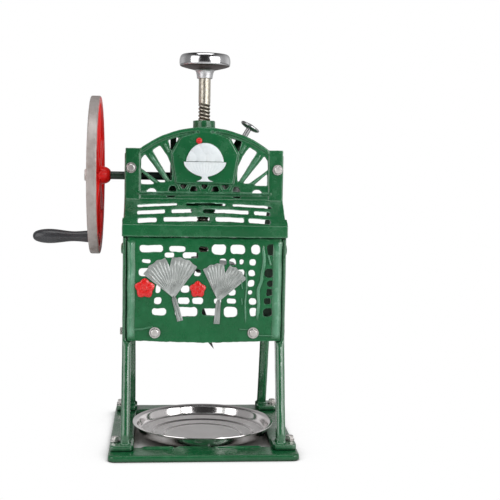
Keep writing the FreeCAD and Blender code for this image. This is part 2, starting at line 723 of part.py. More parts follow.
def fanLeaf(cx, rise, radius, turn, spread, stem):
    """Fan-shaped leaf with a notch in the middle of its edge and a long stem."""
    cz = bodyBottom + rise

    def at(angle, r):
        a = math.radians(turn + angle)
        return (cx + r * math.cos(a), cz + r * math.sin(a))

    half = spread / 2
    leaf = slabXZ([
        at(180, 2), at(-half, radius * 0.92), at(-half * 0.5, radius) + (True,), at(-3, radius * 0.96),
        at(0, radius * 0.72), at(3, radius * 0.96), at(half * 0.5, radius) + (True,), at(half, radius * 0.92),
    ], panelFront - reliefThick, panelFront)
    tip = at(180 + 8, stem)
    side = at(90, 3.2)
    dx, dz = side[0] - cx, side[1] - cz
    stalk = slabXZ([
        (cx - dx, cz - dz), (cx + dx, cz + dz), (tip[0] + dx * 1.25, tip[1] + dz * 1.25),
        (tip[0] - dx * 1.25, tip[1] - dz * 1.25),
    ], panelFront - reliefThick, panelFront)
    return leaf.fuse(stalk)


def blossom(cx, rise, radius):
    """Five round petals about a centre."""
    cz = bodyBottom + rise
    parts = [cylinder((cx, panelFront - reliefThick, cz), (0, 1, 0), radius * 0.45, reliefThick)]
    for i in range(5):
        a = math.radians(90 + 72 * i)
        centre = (cx + radius * 0.56 * math.cos(a), panelFront - reliefThick, cz + radius * 0.56 * math.sin(a))
        parts.append(cylinder(centre, (0, 1, 0), radius * 0.44, reliefThick))
    return parts[0].fuse(parts[1:])


# ---- bridge, bushes, bed ----------------------------------------------------------------------------
def bearingBridge():
    bottom = bridgeTop - bridgeThick
    bar = slabXY([
        (-frameInner, -22), (-40, -22), (0, -34, True), (40, -22), (frameInner, -22), (frameInner, 22),
        (guardHalf + 8, 22), (guardHalf, headDepth), (-guardHalf, headDepth), (-guardHalf - 8, 22),
        (-frameInner, 22),
    ], bottom, bridgeTop)
    guard = slabXZ([(-guardHalf, bottom), (guardHalf, bottom), (guardHalf, guardTop - 8),
                    (guardHalf - 8, guardTop), (8 - guardHalf, guardTop), (-guardHalf, guardTop - 8)],
                   headDepth - guardThick, headDepth)
    bar = bar.fuse(guard)
    bar = bar.fuse(cylinder((0, 0, bridgeBossBottom), (0, 0, 1), bridgeBossRadius, bridgeBossDepth))
    bar = bar.fuse(cylinder((0, 0, bottom - 7), (0, 0, 1), bridgeStepRadius, 8))
    bore = cylinder((0, 0, bridgeBossBottom - 1), (0, 0, 1), gearBushOuter + fixedGap, bridgeBossDepth + 2)
    bar = bar.cut(bore)
    for side in (-1, 1):
        for y in (-bridgeScrewY, bridgeScrewY):
            x = frameInner - 16 if side > 0 else -frameInner - 1
            bar = bar.cut(cylinder((x, y, bridgeScrewHeight), (1, 0, 0), boltRadius + runGap, 17))
    return bar.removeSplitter()


def bladeBed():
    plate = block(-frameInner, frameInner, -bedDepth, bedDepth, bedBottom, bedTop)
    flange = block(-bedHalfWidth, bedHalfWidth, panelBack, bedFlangeBack, bedBottom, bedFlangeTop)
    joining = block(-bedHalfWidth, bedHalfWidth, panelBack, -bedDepth, bedBottom, bedTop)
    bed = plate.fuse([flange, joining])
    for side in (-1, 1):
        x0, x1 = sorted((side * (frameInner - bedRim), side * frameInner))
        bed = bed.fuse(block(x0, x1, -bedDepth, bedDepth, bedBottom, bedBottom + bedRimHeight))
    well = cylinder((0, 0, bedTop - 1.0), (0, 0, 1), wellRadius, bedRimHeight)
    bed = bed.cut(well.common(block(-frameInner, frameInner, 1 - bedDepth, bedDepth, 0, bedFlangeTop)))
    bed = bed.cut(block(slotInner, slotOuter, slotFront, slotRear, bedBottom - 1, bedTop + 1))
    leverSlot = block(leverX - 11, leverX + 14, bedFlangeBack, 6 - bedDepth, bedBottom - 1, bedTop + 1)
    bed = bed.cut(leverSlot)
    for side in (-1, 1):
        x = side * panelBoltX
        bed = bed.cut(cylinder((x, panelBack - 1, panelBoltZ), (0, 1, 0), boltRadius + boltGap,
                               bedFlangeThick + 2))
        bed = bed.cut(cylinder((x, bedFlangeBack, panelBoltZ), (0, 1, 0), boltHeadAcross * 0.8, 9))
        for y in bedScrewPlaces:
            x = frameInner - bedRim - 2 if side > 0 else -frameInner - 1
            bed = bed.cut(cylinder((x, y, bedScrewHeight), (1, 0, 0), boltRadius + runGap, bedRim + 3))
    for x in bladeScrewPlaces:
        bed = bed.cut(cylinder((x, bladeScrewY, bedBottom - 1), (0, 0, 1), boltRadius + runGap, bedThick - 1.5))
    bed = bed.cut(cylinder((leverX, panelBack - 1, leverZ), (0, 1, 0), boltRadius + runGap, bedFlangeThick + 2))
    return bed.removeSplitter()


def shavingBlade():
    """Flat ground blade under the bed, its edge just above the slot's far side."""
    blade = block(slotInner + 1, slotOuter - 1, bladeFront + 1, bladeRear, bladeBottom, bedBottom)
    edge = slabYZ([(bladeFront, bladeBottom - 1), (bladeFront, bedBottom + 1),
                   (bladeFront + 0.6, bedBottom + 1), (bladeFront + 7.5, bladeBottom - 1)], 0, slotOuter)
    blade = blade.cut(edge)
    for x in bladeScrewPlaces:
        blade = blade.cut(cylinder((x, bladeScrewY, clampBottom), (0, 0, 1), boltRadius + boltGap, 20))
    return blade


def bladeClamp():
    clamp = block(slotInner + 3, slotOuter - 3, bladeScrewY - 12, bladeRear, clampBottom, bladeBottom)
    for x in bladeScrewPlaces:
        clamp = clamp.cut(cylinder((x, bladeScrewY, clampBottom - 1), (0, 0, 1), boltRadius + boltGap, 20))
    return clamp


def bladeLever():
    """Pointed lever behind the panel; its upper arm shows through the lattice, its tip hangs below."""
    arm = slabXZ(raised([
        (leverX - 5.5, 0), (-6.5, 24), (-4.5, 30, True), (0.5, 28), (leverX + 5.5, 0), (leverX + 5.5, -17),
        (leverX + 10.5, -31.5), (leverX + 0.5, -20), (leverX - 1.8, -15),
    ], leverZ), leverFront, leverFront + leverThick)
    return arm.cut(cylinder((leverX, leverFront - 1, leverZ), (0, 1, 0), boltRadius + runGap, leverThick + 2))


# ---- crank side -------------------------------------------------------------------------------------
def bevelTeeth(count, pitchAngle, halfShare, axis, across, offset):
    """Straight bevel teeth whose faces all run to the apex; axis points from the apex to the gear."""
    apex = Vector(0, 0, axleHeight)
    w = Vector(*axis)
    e0 = Vector(*across)
    t0 = w.cross(e0)
    far = outerCone
    near = outerCone - gearFace
    rise = toothRise * gearModule
    drop = toothDrop * gearModule + 0.5
    foot = halfShare * gearModule + drop * toothFlank
    crest = halfShare * gearModule - rise * toothFlank
    delta = math.radians(pitchAngle)
    teeth = []
    for i in range(count):
        a = 2 * math.pi * i / count + math.radians(offset)
        e = e0 * math.cos(a) + t0 * math.sin(a)
        t = t0 * math.cos(a) - e0 * math.sin(a)
        g = w * math.cos(delta) + e * math.sin(delta)
        n = e * math.cos(delta) - w * math.sin(delta)
        rings = []
        for cone in (far, near):
            k = cone / far
            rings.append([apex + g * cone + n * (h * k) + t * (c * k)
                          for h, c in ((-drop, foot), (rise, crest), (rise, -crest), (-drop, -foot))])
        faces = [Part.Face(Part.makePolygon(r + [r[0]])) for r in rings]
        for j in range(4):
            m = (j + 1) % 4
            quad = [rings[0][j], rings[0][m], rings[1][m], rings[1][j]]
            faces.append(Part.Face(Part.makePolygon(quad + [quad[0]])))
        solid = Part.Solid(Part.Shell(faces))
        if solid.Volume < 0:
            solid.reverse()
        teeth.append(solid)
    return teeth


def rootPoint(pitchAngle, share):
    """Radius and distance along the axis from the apex, on the root cone."""
    a = math.radians(pitchAngle)
    drop = toothDrop * gearModule
    r = outerCone * math.sin(a) - drop * math.cos(a)
    w = outerCone * math.cos(a) + drop * math.sin(a)
    return r * share, w * share


def bevelGear():
    farR, farW = rootPoint(gearAngle, 1 + rootLand)
    nearR, nearW = rootPoint(gearAngle, nearShare - 2 * rootLand)
    bore = spindleRadius + runGap
    blank = turned([
        (bore, collarBottom), (journalRadius, collarBottom), (journalRadius, gearWebBottom),
        (hubRadius + 9, gearWebBottom), (hubRadius + 10, gearWebBottom + 4), (farR + 0.4, gearWebBottom + 5),
        (farR, axleHeight - farW), (nearR, axleHeight - nearW), (nearR - 1.5, gearHubTop - 6),
        (hubRadius, gearHubTop - 6), (hubRadius, gearHubTop), (bore, gearHubTop),
    ], (0, 0, 0), (0, 0, 1))
    teeth = bevelTeeth(gearTeeth, gearAngle, gearToothHalf, (0, 0, -1), (-1, 0, 0), 180.0 / gearTeeth)
    gear = blank.fuse(teeth)
    keySeat = block(-keyWidth / 2, keyWidth / 2, 0, keyOuter, keyBottom, keyTop)
    keySeat = keySeat.cut(cylinder((0, 0, keyBottom), (0, 0, 1), bore - 0.5, keyTop - keyBottom))
    gear = gear.cut(keySeat)
    screwHole = cylinder((0, -journalRadius - 1, collarMiddle), (0, 1, 0), pinRadius + fixedGap, 2.5)
    return gear.cut(screwHole)


def gearCollar():
    collar = ring((0, 0, collarBottom), (0, 0, 1), collarRadius, journalRadius + fixedGap, collarHeight)
    return collar.cut(cylinder((0, -collarRadius - 1, collarMiddle), (0, 1, 0), pinRadius + fixedGap, 8))


def driveKey():
    return block(-keyWidth / 2, keyWidth / 2, spindleRadius - keywayDepth + 0.3, keyOuter - fixedGap,
                 keyBottom + fixedGap, keyTop - fixedGap)


def drivePinion():
    farR, farW = rootPoint(pinionAngle, 1 + rootLand)
    nearR, nearW = rootPoint(pinionAngle, nearShare - 2 * rootLand)
    bore = axleNeckRadius + fixedGap
    blank = turned([
        (bore, nearW - 1), ((bore + nearR) / 2, nearW - 1), (nearR, nearW), (farR, farW), (farR - 0.6, farW + 1),
        (farR - 0.6, -axleShoulder - 0.3), (bore, -axleShoulder - 0.3),
    ], (0, 0, axleHeight), (-1, 0, 0))
    teeth = bevelTeeth(pinionTeeth, pinionAngle, pinionToothHalf, (-1, 0, 0), (0, 0, -1), 0)
    pinion = blank.fuse(teeth)
    return pinion.cut(cylinder((-pinPlace, 0, axleHeight - 30), (0, 0, 1), pinRadius + fixedGap, 60))


def crankAxle():
    length = axleInnerEnd - axleOuterEnd
    axle = cylinder((axleOuterEnd, 0, axleHeight), (1, 0, 0), axleRadius, length)
    axle = axle.cut(ring((axleShoulder, 0, axleHeight), (1, 0, 0), axleRadius + 1, axleNeckRadius,
                      axleInnerEnd - axleShoulder + 1))
    return axle.cut(cylinder((-pinPlace, 0, axleHeight - 20), (0, 0, 1), pinRadius + fixedGap, 40))


def axleBush(start, length):
    return ring((start, 0, axleHeight), (1, 0, 0), bushOuter, axleRadius + runGap, length)


def pinionPin():
    return cylinder((-pinPlace, 0, axleHeight - 8.5), (0, 0, 1), pinRadius, 17)


def flywheel():
    rimInner = wheelRadius - wheelRimDepth
    rim = turned([
        (rimInner + 3, 0), (wheelRadius - 1, 0), (wheelRadius, 1), (wheelRadius, wheelWidth - 1),
        (wheelRadius - 1, wheelWidth), (rimInner + 3, wheelWidth), (rimInner, wheelWidth - 3), (rimInner, 3),
    ], (wheelOuterFace, 0, axleHeight), (1, 0, 0))
    hub = turned([
        (0, 0), (wheelHubRadius + 1, 0), (wheelHubRadius + 2, 6), (wheelHubRadius + 1, 17),
        (wheelHubRadius - 0.5, 24), (wheelHubRadius - 3, 28), (axleRadius + 1, 30), (0, 30),
    ], (wheelOuterFace - 1, 0, axleHeight), (1, 0, 0))
    wheel = rim.fuse(hub)
    for i in range(wheelSpokes):
        turn = 360.0 / wheelSpokes * i
        spoke = slabYZ([(-8, -6), (8, -6), (5.5, -rimInner - 2), (-5.5, -rimInner - 2)],
                       wheelCentre - 3.5, wheelCentre + 3.5)
        rib = slabYZ([(-2.5, -6), (2.5, -6), (2, -rimInner - 2), (-2, -rimInner - 2)],
                     wheelCentre - 3.5, wheelCentre + 6.5)
        spoke = spoke.fuse(rib)
        spoke.translate(Vector(0, 0, axleHeight))
        spoke.rotate(Vector(0, 0, axleHeight), Vector(1, 0, 0), turn)
        wheel = wheel.fuse(spoke)
    crankBoss = cylinder((crankBossFace, 0, crankHeight), (1, 0, 0), crankPinRadius + 6.5, wheelWidth - 1.4)
    wheel = wheel.fuse(crankBoss)
    wheel = wheel.cut(cylinder((wheelOuterFace - 5, 0, axleHeight), (1, 0, 0), axleRadius + fixedGap, 60))
    wheel = wheel.cut(cylinder((wheelOuterFace - 5, 0, crankHeight), (1, 0, 0), crankPinRadius + fixedGap, 60))
    return wheel.removeSplitter()


def crankPin():
    start = gripTip + 10
    pin = cylinder((start, 0, crankHeight), (1, 0, 0), crankPinRadius, wheelInnerFace - 3 - start)
    groove = ring((start + 3, 0, crankHeight), (1, 0, 0), crankPinRadius + 1, crankPinRadius - 1, 2)
    return pin.cut(groove)


def gripRing():
    x = gripTip + 13.1
    return ring((x, 0, crankHeight), (1, 0, 0), crankPinRadius + 1.4, crankPinRadius - 1 + fixedGap, 1.8)


def wheelWasher():
    return ring((wheelOuterFace - 3, 0, axleHeight), (1, 0, 0), axleRadius + 5, axleRadius + runGap, 2)


def wheelNut():
    nut = hexHead((wheelOuterFace - 3, 0, axleHeight), (-1, 0, 0), axleRadius * 3, 7)
    return nut.cut(cylinder((wheelOuterFace - 20, 0, axleHeight), (1, 0, 0), axleRadius + fixedGap, 30))


def crankGrip():
    profile = [
        (0, 0), (3.2, 0.7), (6.2, 3.2), (8.6, 8), (10.2, 15), (10.9, 23), (10.7, 31), (9.4, 42), (7.9, 53),
        (7.4, 60), (7.9, 68), (8.6, gripLength - 6), (8.9, gripLength - 1.5), (8.2, gripLength),
        (0, gripLength),
    ]
    grip = turned(profile, (gripTip, 0, crankHeight), (1, 0, 0))
    bore = cylinder((gripTip + 9.5, 0, crankHeight), (1, 0, 0), crankPinRadius + runGap, gripLength)
    groove = cylinder((gripTip + 12.6, 0, crankHeight), (1, 0, 0), crankPinRadius + 2, 2.8)
    return grip.cut([bore, groove])


# ---- feed side --------------------------------------------------------------------------------------
def feedSpindle():
    shaft = cylinder((0, 0, spindleBottom), (0, 0, 1), spindleRadius, handwheelSeat - spindleBottom)
    shaft = shaft.fuse(cylinder((0, 0, handwheelSeat), (0, 0, 1), neckRadius, spindleTop - handwheelSeat))
    tail = presserBottom + presserSeat - spindleBottom + 1
    shaft = shaft.cut(ring((0, 0, spindleBottom - 1), (0, 0, 1), spindleRadius + 1, neckRadius, tail))
    keyway = block(-keyWidth / 2 - keyGap, keyWidth / 2 + keyGap, spindleRadius - keywayDepth,
                   spindleRadius + 1, keywayBottom, keywayTop)
    return shaft.cut(keyway)


def spindleBush():
    low = bossBottom + 0.5
    return ring((0, 0, low), (0, 0, 1), spindleBushOuter, spindleRadius + runGap, bossTop - low)


def gearBush():
    return ring((0, 0, bridgeBossBottom), (0, 0, 1), gearBushOuter, journalRadius + runGap, bridgeBossDepth)


def gearWasher():
    return ring((0, 0, bridgeTop), (0, 0, 1), journalRadius * 2, journalRadius + axialPlay,
                gearWebLift - axialPlay)


def nutWasher():
    return ring((0, 0, nutTop + axialPlay), (0, 0, 1), hubRadius + 1.5, spindleRadius + axialPlay,
                nutWasherThick)


# rounding of the handwheel's dish and rim: radius, height above its bottom
handwheelOutline = [
    (13.4, 9), (15.2, 14), (20, 18.5), (27, 21.5), (31, 20.5), (34, 18.2), (handwheelRadius - 1.7, 19.6),
    (handwheelRadius, 23.5), (handwheelRadius, 28), (handwheelRadius - 1.5, 33), (33.5, 36), (29, 36),
    (25, 33.5), (20, 30.5), (13, 29),
]


def topHandwheel():
    low = handwheelBottom
    hub = spindleRadius + 2.6
    profile = [
        (neckRadius + fixedGap, handwheelSeat), (spindleRadius + fixedGap, handwheelSeat),
        (spindleRadius + fixedGap, low), (hub, low), (hub + 0.6, low + 1),
    ]
    profile += raised(handwheelOutline, low)
    profile.append((neckRadius + fixedGap, low + 29))
    return turned(profile, (0, 0, 0), (0, 0, 1))


def handwheelNut():
    top = handwheelMid + 2
    nut = hexHead((0, 0, top), (0, 0, 1), nutAcross, 6)
    return nut.cut(cylinder((0, 0, top - 1), (0, 0, 1), neckRadius + fixedGap, spindleTop - top + 1.2))


def presserDisc():
    low = presserBottom
    disc = turned([
        (neckRadius + fixedGap, low), (presserRadius - 2, low), (presserRadius, low + 2),
        (presserRadius, presserTop - 2), (presserRadius - 2, presserTop), (spindleRadius + 10, presserTop),
        (spindleRadius + 8, presserTop + 8), (neckRadius + fixedGap, presserTop + 8),
    ], (0, 0, 0), (0, 0, 1))
    return disc.cut(cylinder((0, 0, low + presserSeat), (0, 0, 1), spindleRadius + fixedGap, presserThick + 8))


def presserSpikes():
    spikes = []
    for radius, count in ((presserRadius * 0.8, 8), (presserRadius * 0.48, 4)):
        for i in range(count):
            a = 2 * math.pi * (i + 0.5) / count
            spikes.append(turned([(0, 0), (3.4, 0), (2.6, 3), (0.5, spikeLength), (0, spikeLength)],
                                 (radius * math.cos(a), radius * math.sin(a), presserBottom), (0, 0, -1)))
    return spikes


def presserNut():
    nut = hexHead((0, 0, presserBottom), (0, 0, -1), nutAcross, 7)
    return nut.cut(cylinder((0, 0, presserBottom - 10), (0, 0, 1), neckRadius + fixedGap, 12))


def feedNut():
    low = gearHubTop + axialPlay
    nut = cylinder((0, 0, nutFlangeBottom), (0, 0, 1), nutFlangeRadius, nutFlangeThick)
    nut = nut.fuse(cylinder((0, 0, low), (0, 0, 1), hubRadius - 0.5, nutTop - low))
    nut = nut.cut(cylinder((0, 0, low - 1), (0, 0, 1), spindleRadius + runGap, nutTop - low + 2))
    for i in range(nutNotches):
        notch = block(nutNotchRoot, nutFlangeRadius + 2, -nutNotchWidth / 2, nutNotchWidth / 2,
                      nutFlangeBottom - 1, nutFlangeTop + 1)
        notch.rotate(Vector(0, 0, 0), Vector(0, 0, 1), 360.0 / nutNotches * i)
        nut = nut.cut(notch)
    return nut


def lockRod():
    rod = cylinder(lockPoint(1.0), lockAxis, lockRodRadius, lockLength - 1.0)
    end = rod.Edges[0]
    for edge in rod.Edges:
        if edge.BoundBox.ZMax < end.BoundBox.ZMax:
            end = edge
    return rod.makeChamfer(0.8, [end])


def lockKnob():
    up = (-lockAxis[0], 0, -lockAxis[2])
    knob = turned([
        (0, -3.5), (7, -3.5), (12.5, -2.5), (15.2, -0.6), (15.6, 1.2), (14.6, 3), (10, 4.4), (4, 5), (0, 5),
    ], (lockKnobX, 0, lockKnobZ), up)
    return knob.cut(cylinder(lockPoint(1.0 - fixedGap), lockAxis, lockRodRadius + fixedGap, 20))


# ---- dish -------------------------------------------------------------------------------------------
def dripDish():
    """Pressed dish with a stepped well and a rolled rim."""
    r = dishRadius
    h = dishHeight
    outer = [
        (0, 0.2), (r - 50, 0.2), (r - 47, 2.4), (r - 30, 3.6), (r - 27.5, 5.6), (r - 19, 7.4),
        (dishSeatRadius, 10), (r - 7.2, 17.4), (r - 4, h - 2.6), (r - 1.6, h - 2.0), (r - 0.3, h - 1.6),
        (r, h - 0.8),
    ]
    inner = [
        (r - 0.4, h), (r - 2, h - 0.6), (r - 4.8, h - 1.2), (r - 8.1, 18), (dishSeatRadius - 0.8, 10.9),
        (r - 19.5, 8.5), (r - 28, 6.7), (r - 30.6, 4.7), (r - 47.6, 3.5), (r - 50.6, 1.2), (0, 1.2),
    ]
    return turned(outer + inner, (dishCentreX, dishCentreY, 0), (0, 0, 1))


# ---- fasteners --------------------------------------------------------------------------------------
def frontFasteners():
    headBolts = []
    headWashers = []
    panelBolts = []
    panelWashers = []
    panelNuts = []
    headSeat = -headDepth - 1.5
    for side in (-1, 1):
        x = side * headBoltX
        headWashers.append(ring((x, headSeat - washerThick, headBoltZ), (0, 1, 0), washerRadius,
                                boltRadius + runGap, washerThick))
        headBolts.append(bolt((x, headSeat - washerThick, headBoltZ), (0, -1, 0), boltRadius, 24,
                              boltHeadAcross, boltHeadHeight))
        x = side * panelBoltX
        panelWashers.append(ring((x, panelFront - washerThick, panelBoltZ), (0, 1, 0), washerRadius + 0.4,
                                 boltRadius + runGap, washerThick))
        length = bedFlangeBack + 7 - (panelFront - washerThick)
        panelBolts.append(bolt((x, panelFront - washerThick, panelBoltZ), (0, -1, 0), boltRadius, length,
                               boltHeadAcross, boltHeadHeight))
        nut = hexHead((x, bedFlangeBack, panelBoltZ), (0, 1, 0), boltHeadAcross, 5)
        panelNuts.append(nut.cut(cylinder((x, bedFlangeBack - 1, panelBoltZ), (0, 1, 0),
                                          boltRadius + fixedGap, 10)))
    return headBolts, headWashers, panelBolts, panelWashers, panelNuts


def footFasteners():
    bolts = []
    washers = []
    seat = footTop + washerThick
    for side in (-1, 1):
        for y in (frontFootBoltY, rearFootBoltY):
            x = side * footBoltX
            washers.append(ring((x, y, footTop), (0, 0, 1), footBoltEdge - 0.2, boltRadius + runGap,
                                washerThick))
            bolts.append(bolt((x, y, seat), (0, 0, 1), boltRadius, seat - 1, boltHeadAcross, 5.5))
    return bolts, washers


def sideScrews(seatX, places, z, length):
    screws = []
    for side in (-1, 1):
        for y in places:
            screws.append(bolt((side * seatX, y, z), (side, 0, 0), boltRadius, length, boltHeadAcross,
                               boltHeadHeight))
    return screws


def bladeScrews():
    length = bladeThick + clampThick + 4
    return [bolt((x, bladeScrewY, clampBottom), (0, 0, -1), boltRadius, length, smallHeadAcross, 3.5)
            for x in bladeScrewPlaces]


def leverScrew():
    y = leverFront + leverThick + axialPlay
    return bolt((leverX, y, leverZ), (0, 1, 0), boltRadius, y - panelBack - axialPlay, smallHeadAcross, 3)


# ---- build ------------------------------------------------------------------------------------------
headBolts, headWashers, panelBolts, panelWashers, panelNuts = frontFasteners()
footBolts, footWashers = footFasteners()
bridgeScrews = sideScrews(frameOuter - webRecess, (-bridgeScrewY, bridgeScrewY), bridgeScrewHeight,
                          frameThick - webRecess + 13)
bedScrews = sideScrews(frameOuter, bedScrewPlaces, bedScrewHeight, frameThick + bedRim)

save("base_frame", baseFrame())
save("right_side_frame", sideFrame(False))
save("left_side_frame", mirrorX(sideFrame(True)))
save("head_casting", headCasting())
save("front_panel", frontPanel())
save("relief_bowl", plaqueRelief(bowlPoints))
save("relief_ice", plaqueRelief(icePoints))
save("relief_cherry", cherryRelief())
save("relief_leaf_left", fanLeaf(-44, 62, 60, 98, 88, 34))
save("relief_leaf_right", fanLeaf(24, 56, 62, 72, 84, 30))
save("relief_blossoms", [blossom(-86, 76, 15), blossom(-6, 78, 13)])
save("bearing_bridge", bearingBridge())
save("blade_bed", bladeBed())
save("shaving_blade", shavingBlade())
save("blade_clamp", bladeClamp())
save("blade_screws", bladeScrews())
save("blade_lever", bladeLever())
save("lever_screw", leverScrew())
save("spindle_bush", spindleBush())
save("gear_bush", gearBush())
save("gear_washer", gearWasher())
save("nut_washer", nutWasher())
save("axle_outer_bush", axleBush(-frameOuter, frameThick + bearingReach))
save("axle_inner_bush", axleBush(lugStart, lugThick))
save("flywheel", flywheel())
save("crank_axle", crankAxle())
save("drive_pinion", drivePinion())
save("pinion_pin", pinionPin())
save("wheel_washer", wheelWasher())
save("wheel_nut", wheelNut())
save("crank_pin", crankPin())
save("grip_ring", gripRing())
save("crank_grip", crankGrip())
save("bevel_gear", bevelGear())
save("drive_key", driveKey())
save("gear_collar", gearCollar())
save("collar_screw", cylinder((0, -collarRadius + 0.5, collarMiddle), (0, 1, 0), pinRadius, 5.2))
save("feed_spindle", feedSpindle())
save("top_handwheel", topHandwheel())
save("handwheel_nut", handwheelNut())
save("presser_disc", presserDisc())
save("presser_spikes", presserSpikes())
save("presser_nut", presserNut())
save("feed_nut", feedNut())
save("lock_rod", lockRod())
save("lock_knob", lockKnob())
save("drip_dish", dripDish())
save("head_bolts", headBolts)
save("head_washers", headWashers)
save("panel_bolts", panelBolts)
save("panel_washers", panelWashers)
save("panel_nuts", panelNuts)
save("foot_bolts", footBolts)
save("foot_washers", footWashers)
save("bridge_screws", bridgeScrews)
save("bed_screws", bedScrews)
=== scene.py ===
import bpy
import math
from mathutils import Matrix, Vector


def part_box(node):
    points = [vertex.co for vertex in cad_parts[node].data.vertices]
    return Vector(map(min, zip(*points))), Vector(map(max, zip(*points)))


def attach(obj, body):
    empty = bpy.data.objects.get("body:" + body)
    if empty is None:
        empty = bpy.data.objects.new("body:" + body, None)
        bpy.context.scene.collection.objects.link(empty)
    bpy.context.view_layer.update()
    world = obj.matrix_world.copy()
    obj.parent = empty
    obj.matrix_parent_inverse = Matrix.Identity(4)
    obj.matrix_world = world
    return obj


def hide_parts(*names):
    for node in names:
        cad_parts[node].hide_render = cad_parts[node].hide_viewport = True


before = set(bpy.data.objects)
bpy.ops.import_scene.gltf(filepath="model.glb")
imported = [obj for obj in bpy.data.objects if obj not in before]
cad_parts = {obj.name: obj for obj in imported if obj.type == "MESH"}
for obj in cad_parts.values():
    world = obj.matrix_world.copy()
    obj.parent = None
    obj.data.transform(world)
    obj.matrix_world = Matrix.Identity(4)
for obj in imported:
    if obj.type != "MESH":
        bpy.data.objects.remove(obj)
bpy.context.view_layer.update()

scene = bpy.context.scene
mm = 0.001  # outlines are in millimetres, the scene is in metres
mergeGap = 0.00001
weldGap = 0.000004
print("frame loaded,", len(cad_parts), "nodes")


def linear(r, g, b):
    # colour picked as 0-255 values, as a paint chart gives it
    def one(c):
        c = c / 255
        return c / 12.92 if c <= 0.04045 else ((c + 0.055) / 1.055) ** 2.4
    return (one(r), one(g), one(b), 1.0)


# selecting and finishing
def deselectAll():
    for obj in list(bpy.context.selected_objects):
        obj.select_set(False)
    bpy.context.view_layer.objects.active = None


def activate(obj):
    deselectAll()
    obj.select_set(True)
    bpy.context.view_layer.objects.active = obj


def mode(name):
    bpy.ops.object.mode_set(mode=name)


def editAll(obj):
    activate(obj)
    mode("EDIT")
    bpy.ops.mesh.select_all(action="SELECT")


def useModifier(obj, name, kind, **settings):
    modifier = obj.modifiers.new(name, kind)
    for key, value in settings.items():
        setattr(modifier, key, value)
    activate(obj)
    bpy.ops.object.modifier_apply(modifier=name)


def recalculateNormals(obj):
    editAll(obj)
    bpy.ops.mesh.remove_doubles(threshold=weldGap)
    bpy.ops.mesh.normals_make_consistent(inside=False)
    mode("OBJECT")


def finishPiece(obj, name, body, material, replaced, slot, angle=32):
    activate(obj)
    obj.name = name
    obj.data.name = name
    bpy.ops.object.transform_apply(location=True, rotation=True, scale=True)
    bpy.ops.object.shade_smooth_by_angle(angle=math.radians(angle))
    obj.data.materials.clear()
    obj.data.materials.append(material)
    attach(obj, body)
    if replaced:
        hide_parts(*replaced)


def finishRelief(obj, name, material, replaced, slot):
    finishPiece(obj, name, "frame", material, replaced, slot, 60)


# shapes
def mergedCopy(node, flatWithin=0):
    # a CAD node is loose triangles, so its copy is merged, and its flat faces made whole if asked
    obj = bpy.data.objects.new(node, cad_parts[node].data.copy())
    scene.collection.objects.link(obj)
    editAll(obj)
    bpy.ops.mesh.remove_doubles(threshold=mergeGap)
    if flatWithin > 0:
        bpy.ops.mesh.dissolve_limited(angle_limit=math.radians(flatWithin))
    mode("OBJECT")
    return obj


easing = {"flatWithin": 0.6, "angle": 28, "segments": 2}  # degrees, degrees, steps


def easedCasting(node, width):
    # casting with its sharp edges eased as paint and casting leave them
    obj = mergedCopy(node, easing["flatWithin"])
    useModifier(obj, "easedEdges", "BEVEL", limit_method="ANGLE", angle_limit=math.radians(easing["angle"]),
                width=width, segments=easing["segments"], use_clamp_overlap=False)
    return obj


handPushes = [  # way, whose strength, grain, level that stays
    ("X", "sway", 0.011, 0.5),
    ("Z", "sway", 0.013, 0.5),
    ("NORMAL", "lump", 0.022, 1.0),
]


def handCasting(values):
    # the casting in an even skin of small faces, softened, with bars and holes drawn a little by hand
    obj = mergedCopy(values["node"])
    useModifier(obj, "evenSkin", "REMESH", mode="VOXEL", voxel_size=values["voxel"])
    useModifier(obj, "soften", "SMOOTH", factor=0.5, iterations=values["smoothing"])
    for way, strength, grain, middle in handPushes:
        if values[strength] > 0:
            clouds = bpy.data.textures.new(values["node"] + way, "CLOUDS")
            clouds.noise_scale = grain
            useModifier(obj, "push" + way, "DISPLACE", texture=clouds, texture_coords="LOCAL", direction=way,
                        strength=values[strength], mid_level=middle)
            bpy.data.textures.remove(clouds)
    useModifier(obj, "fewerFaces", "DECIMATE", ratio=values["keep"])
    return obj


def rounded(points, rounds):
    # corner cutting: each corner is replaced by points a quarter of the way along its sides
    for _ in range(rounds):
        out = [points[0]]
        for a, b in zip(points, points[1:]):
            out.append((a[0] * 0.75 + b[0] * 0.25, a[1] * 0.75 + b[1] * 0.25))
            out.append((a[0] * 0.25 + b[0] * 0.75, a[1] * 0.25 + b[1] * 0.75))
        out.append(points[-1])
        points = out
    return points


def lathe(points, centre, axis, steps):
    # points are (radius, height) in millimetres, spun about the axis through centre
    up = Vector(axis).normalized()
    side = up.orthogonal().normalized()
    places = [Vector(centre) + (side * r + up * h) * mm for r, h in points]
    deselectAll()
    bpy.ops.mesh.primitive_plane_add(size=0.01)
    obj = bpy.context.object
    editAll(obj)
    bpy.ops.mesh.merge(type="CENTER")
    bpy.ops.transform.translate(value=places[0])
    for here, there in zip(places, places[1:]):
        bpy.ops.mesh.extrude_vertices_move(TRANSFORM_OT_translate={"value": there - here})
    bpy.ops.mesh.select_all(action="SELECT")
    bpy.ops.mesh.spin(steps=steps, angle=2 * math.pi, center=centre, axis=up)
    mode("OBJECT")
    recalculateNormals(obj)
    return obj


def turnPiece(name, values, outline, body, material, node, slot):
    obj = lathe(outline, values["centre"], values["axis"], values["steps"])
    finishPiece(obj, name, body, material, [node], slot, values["angle"])


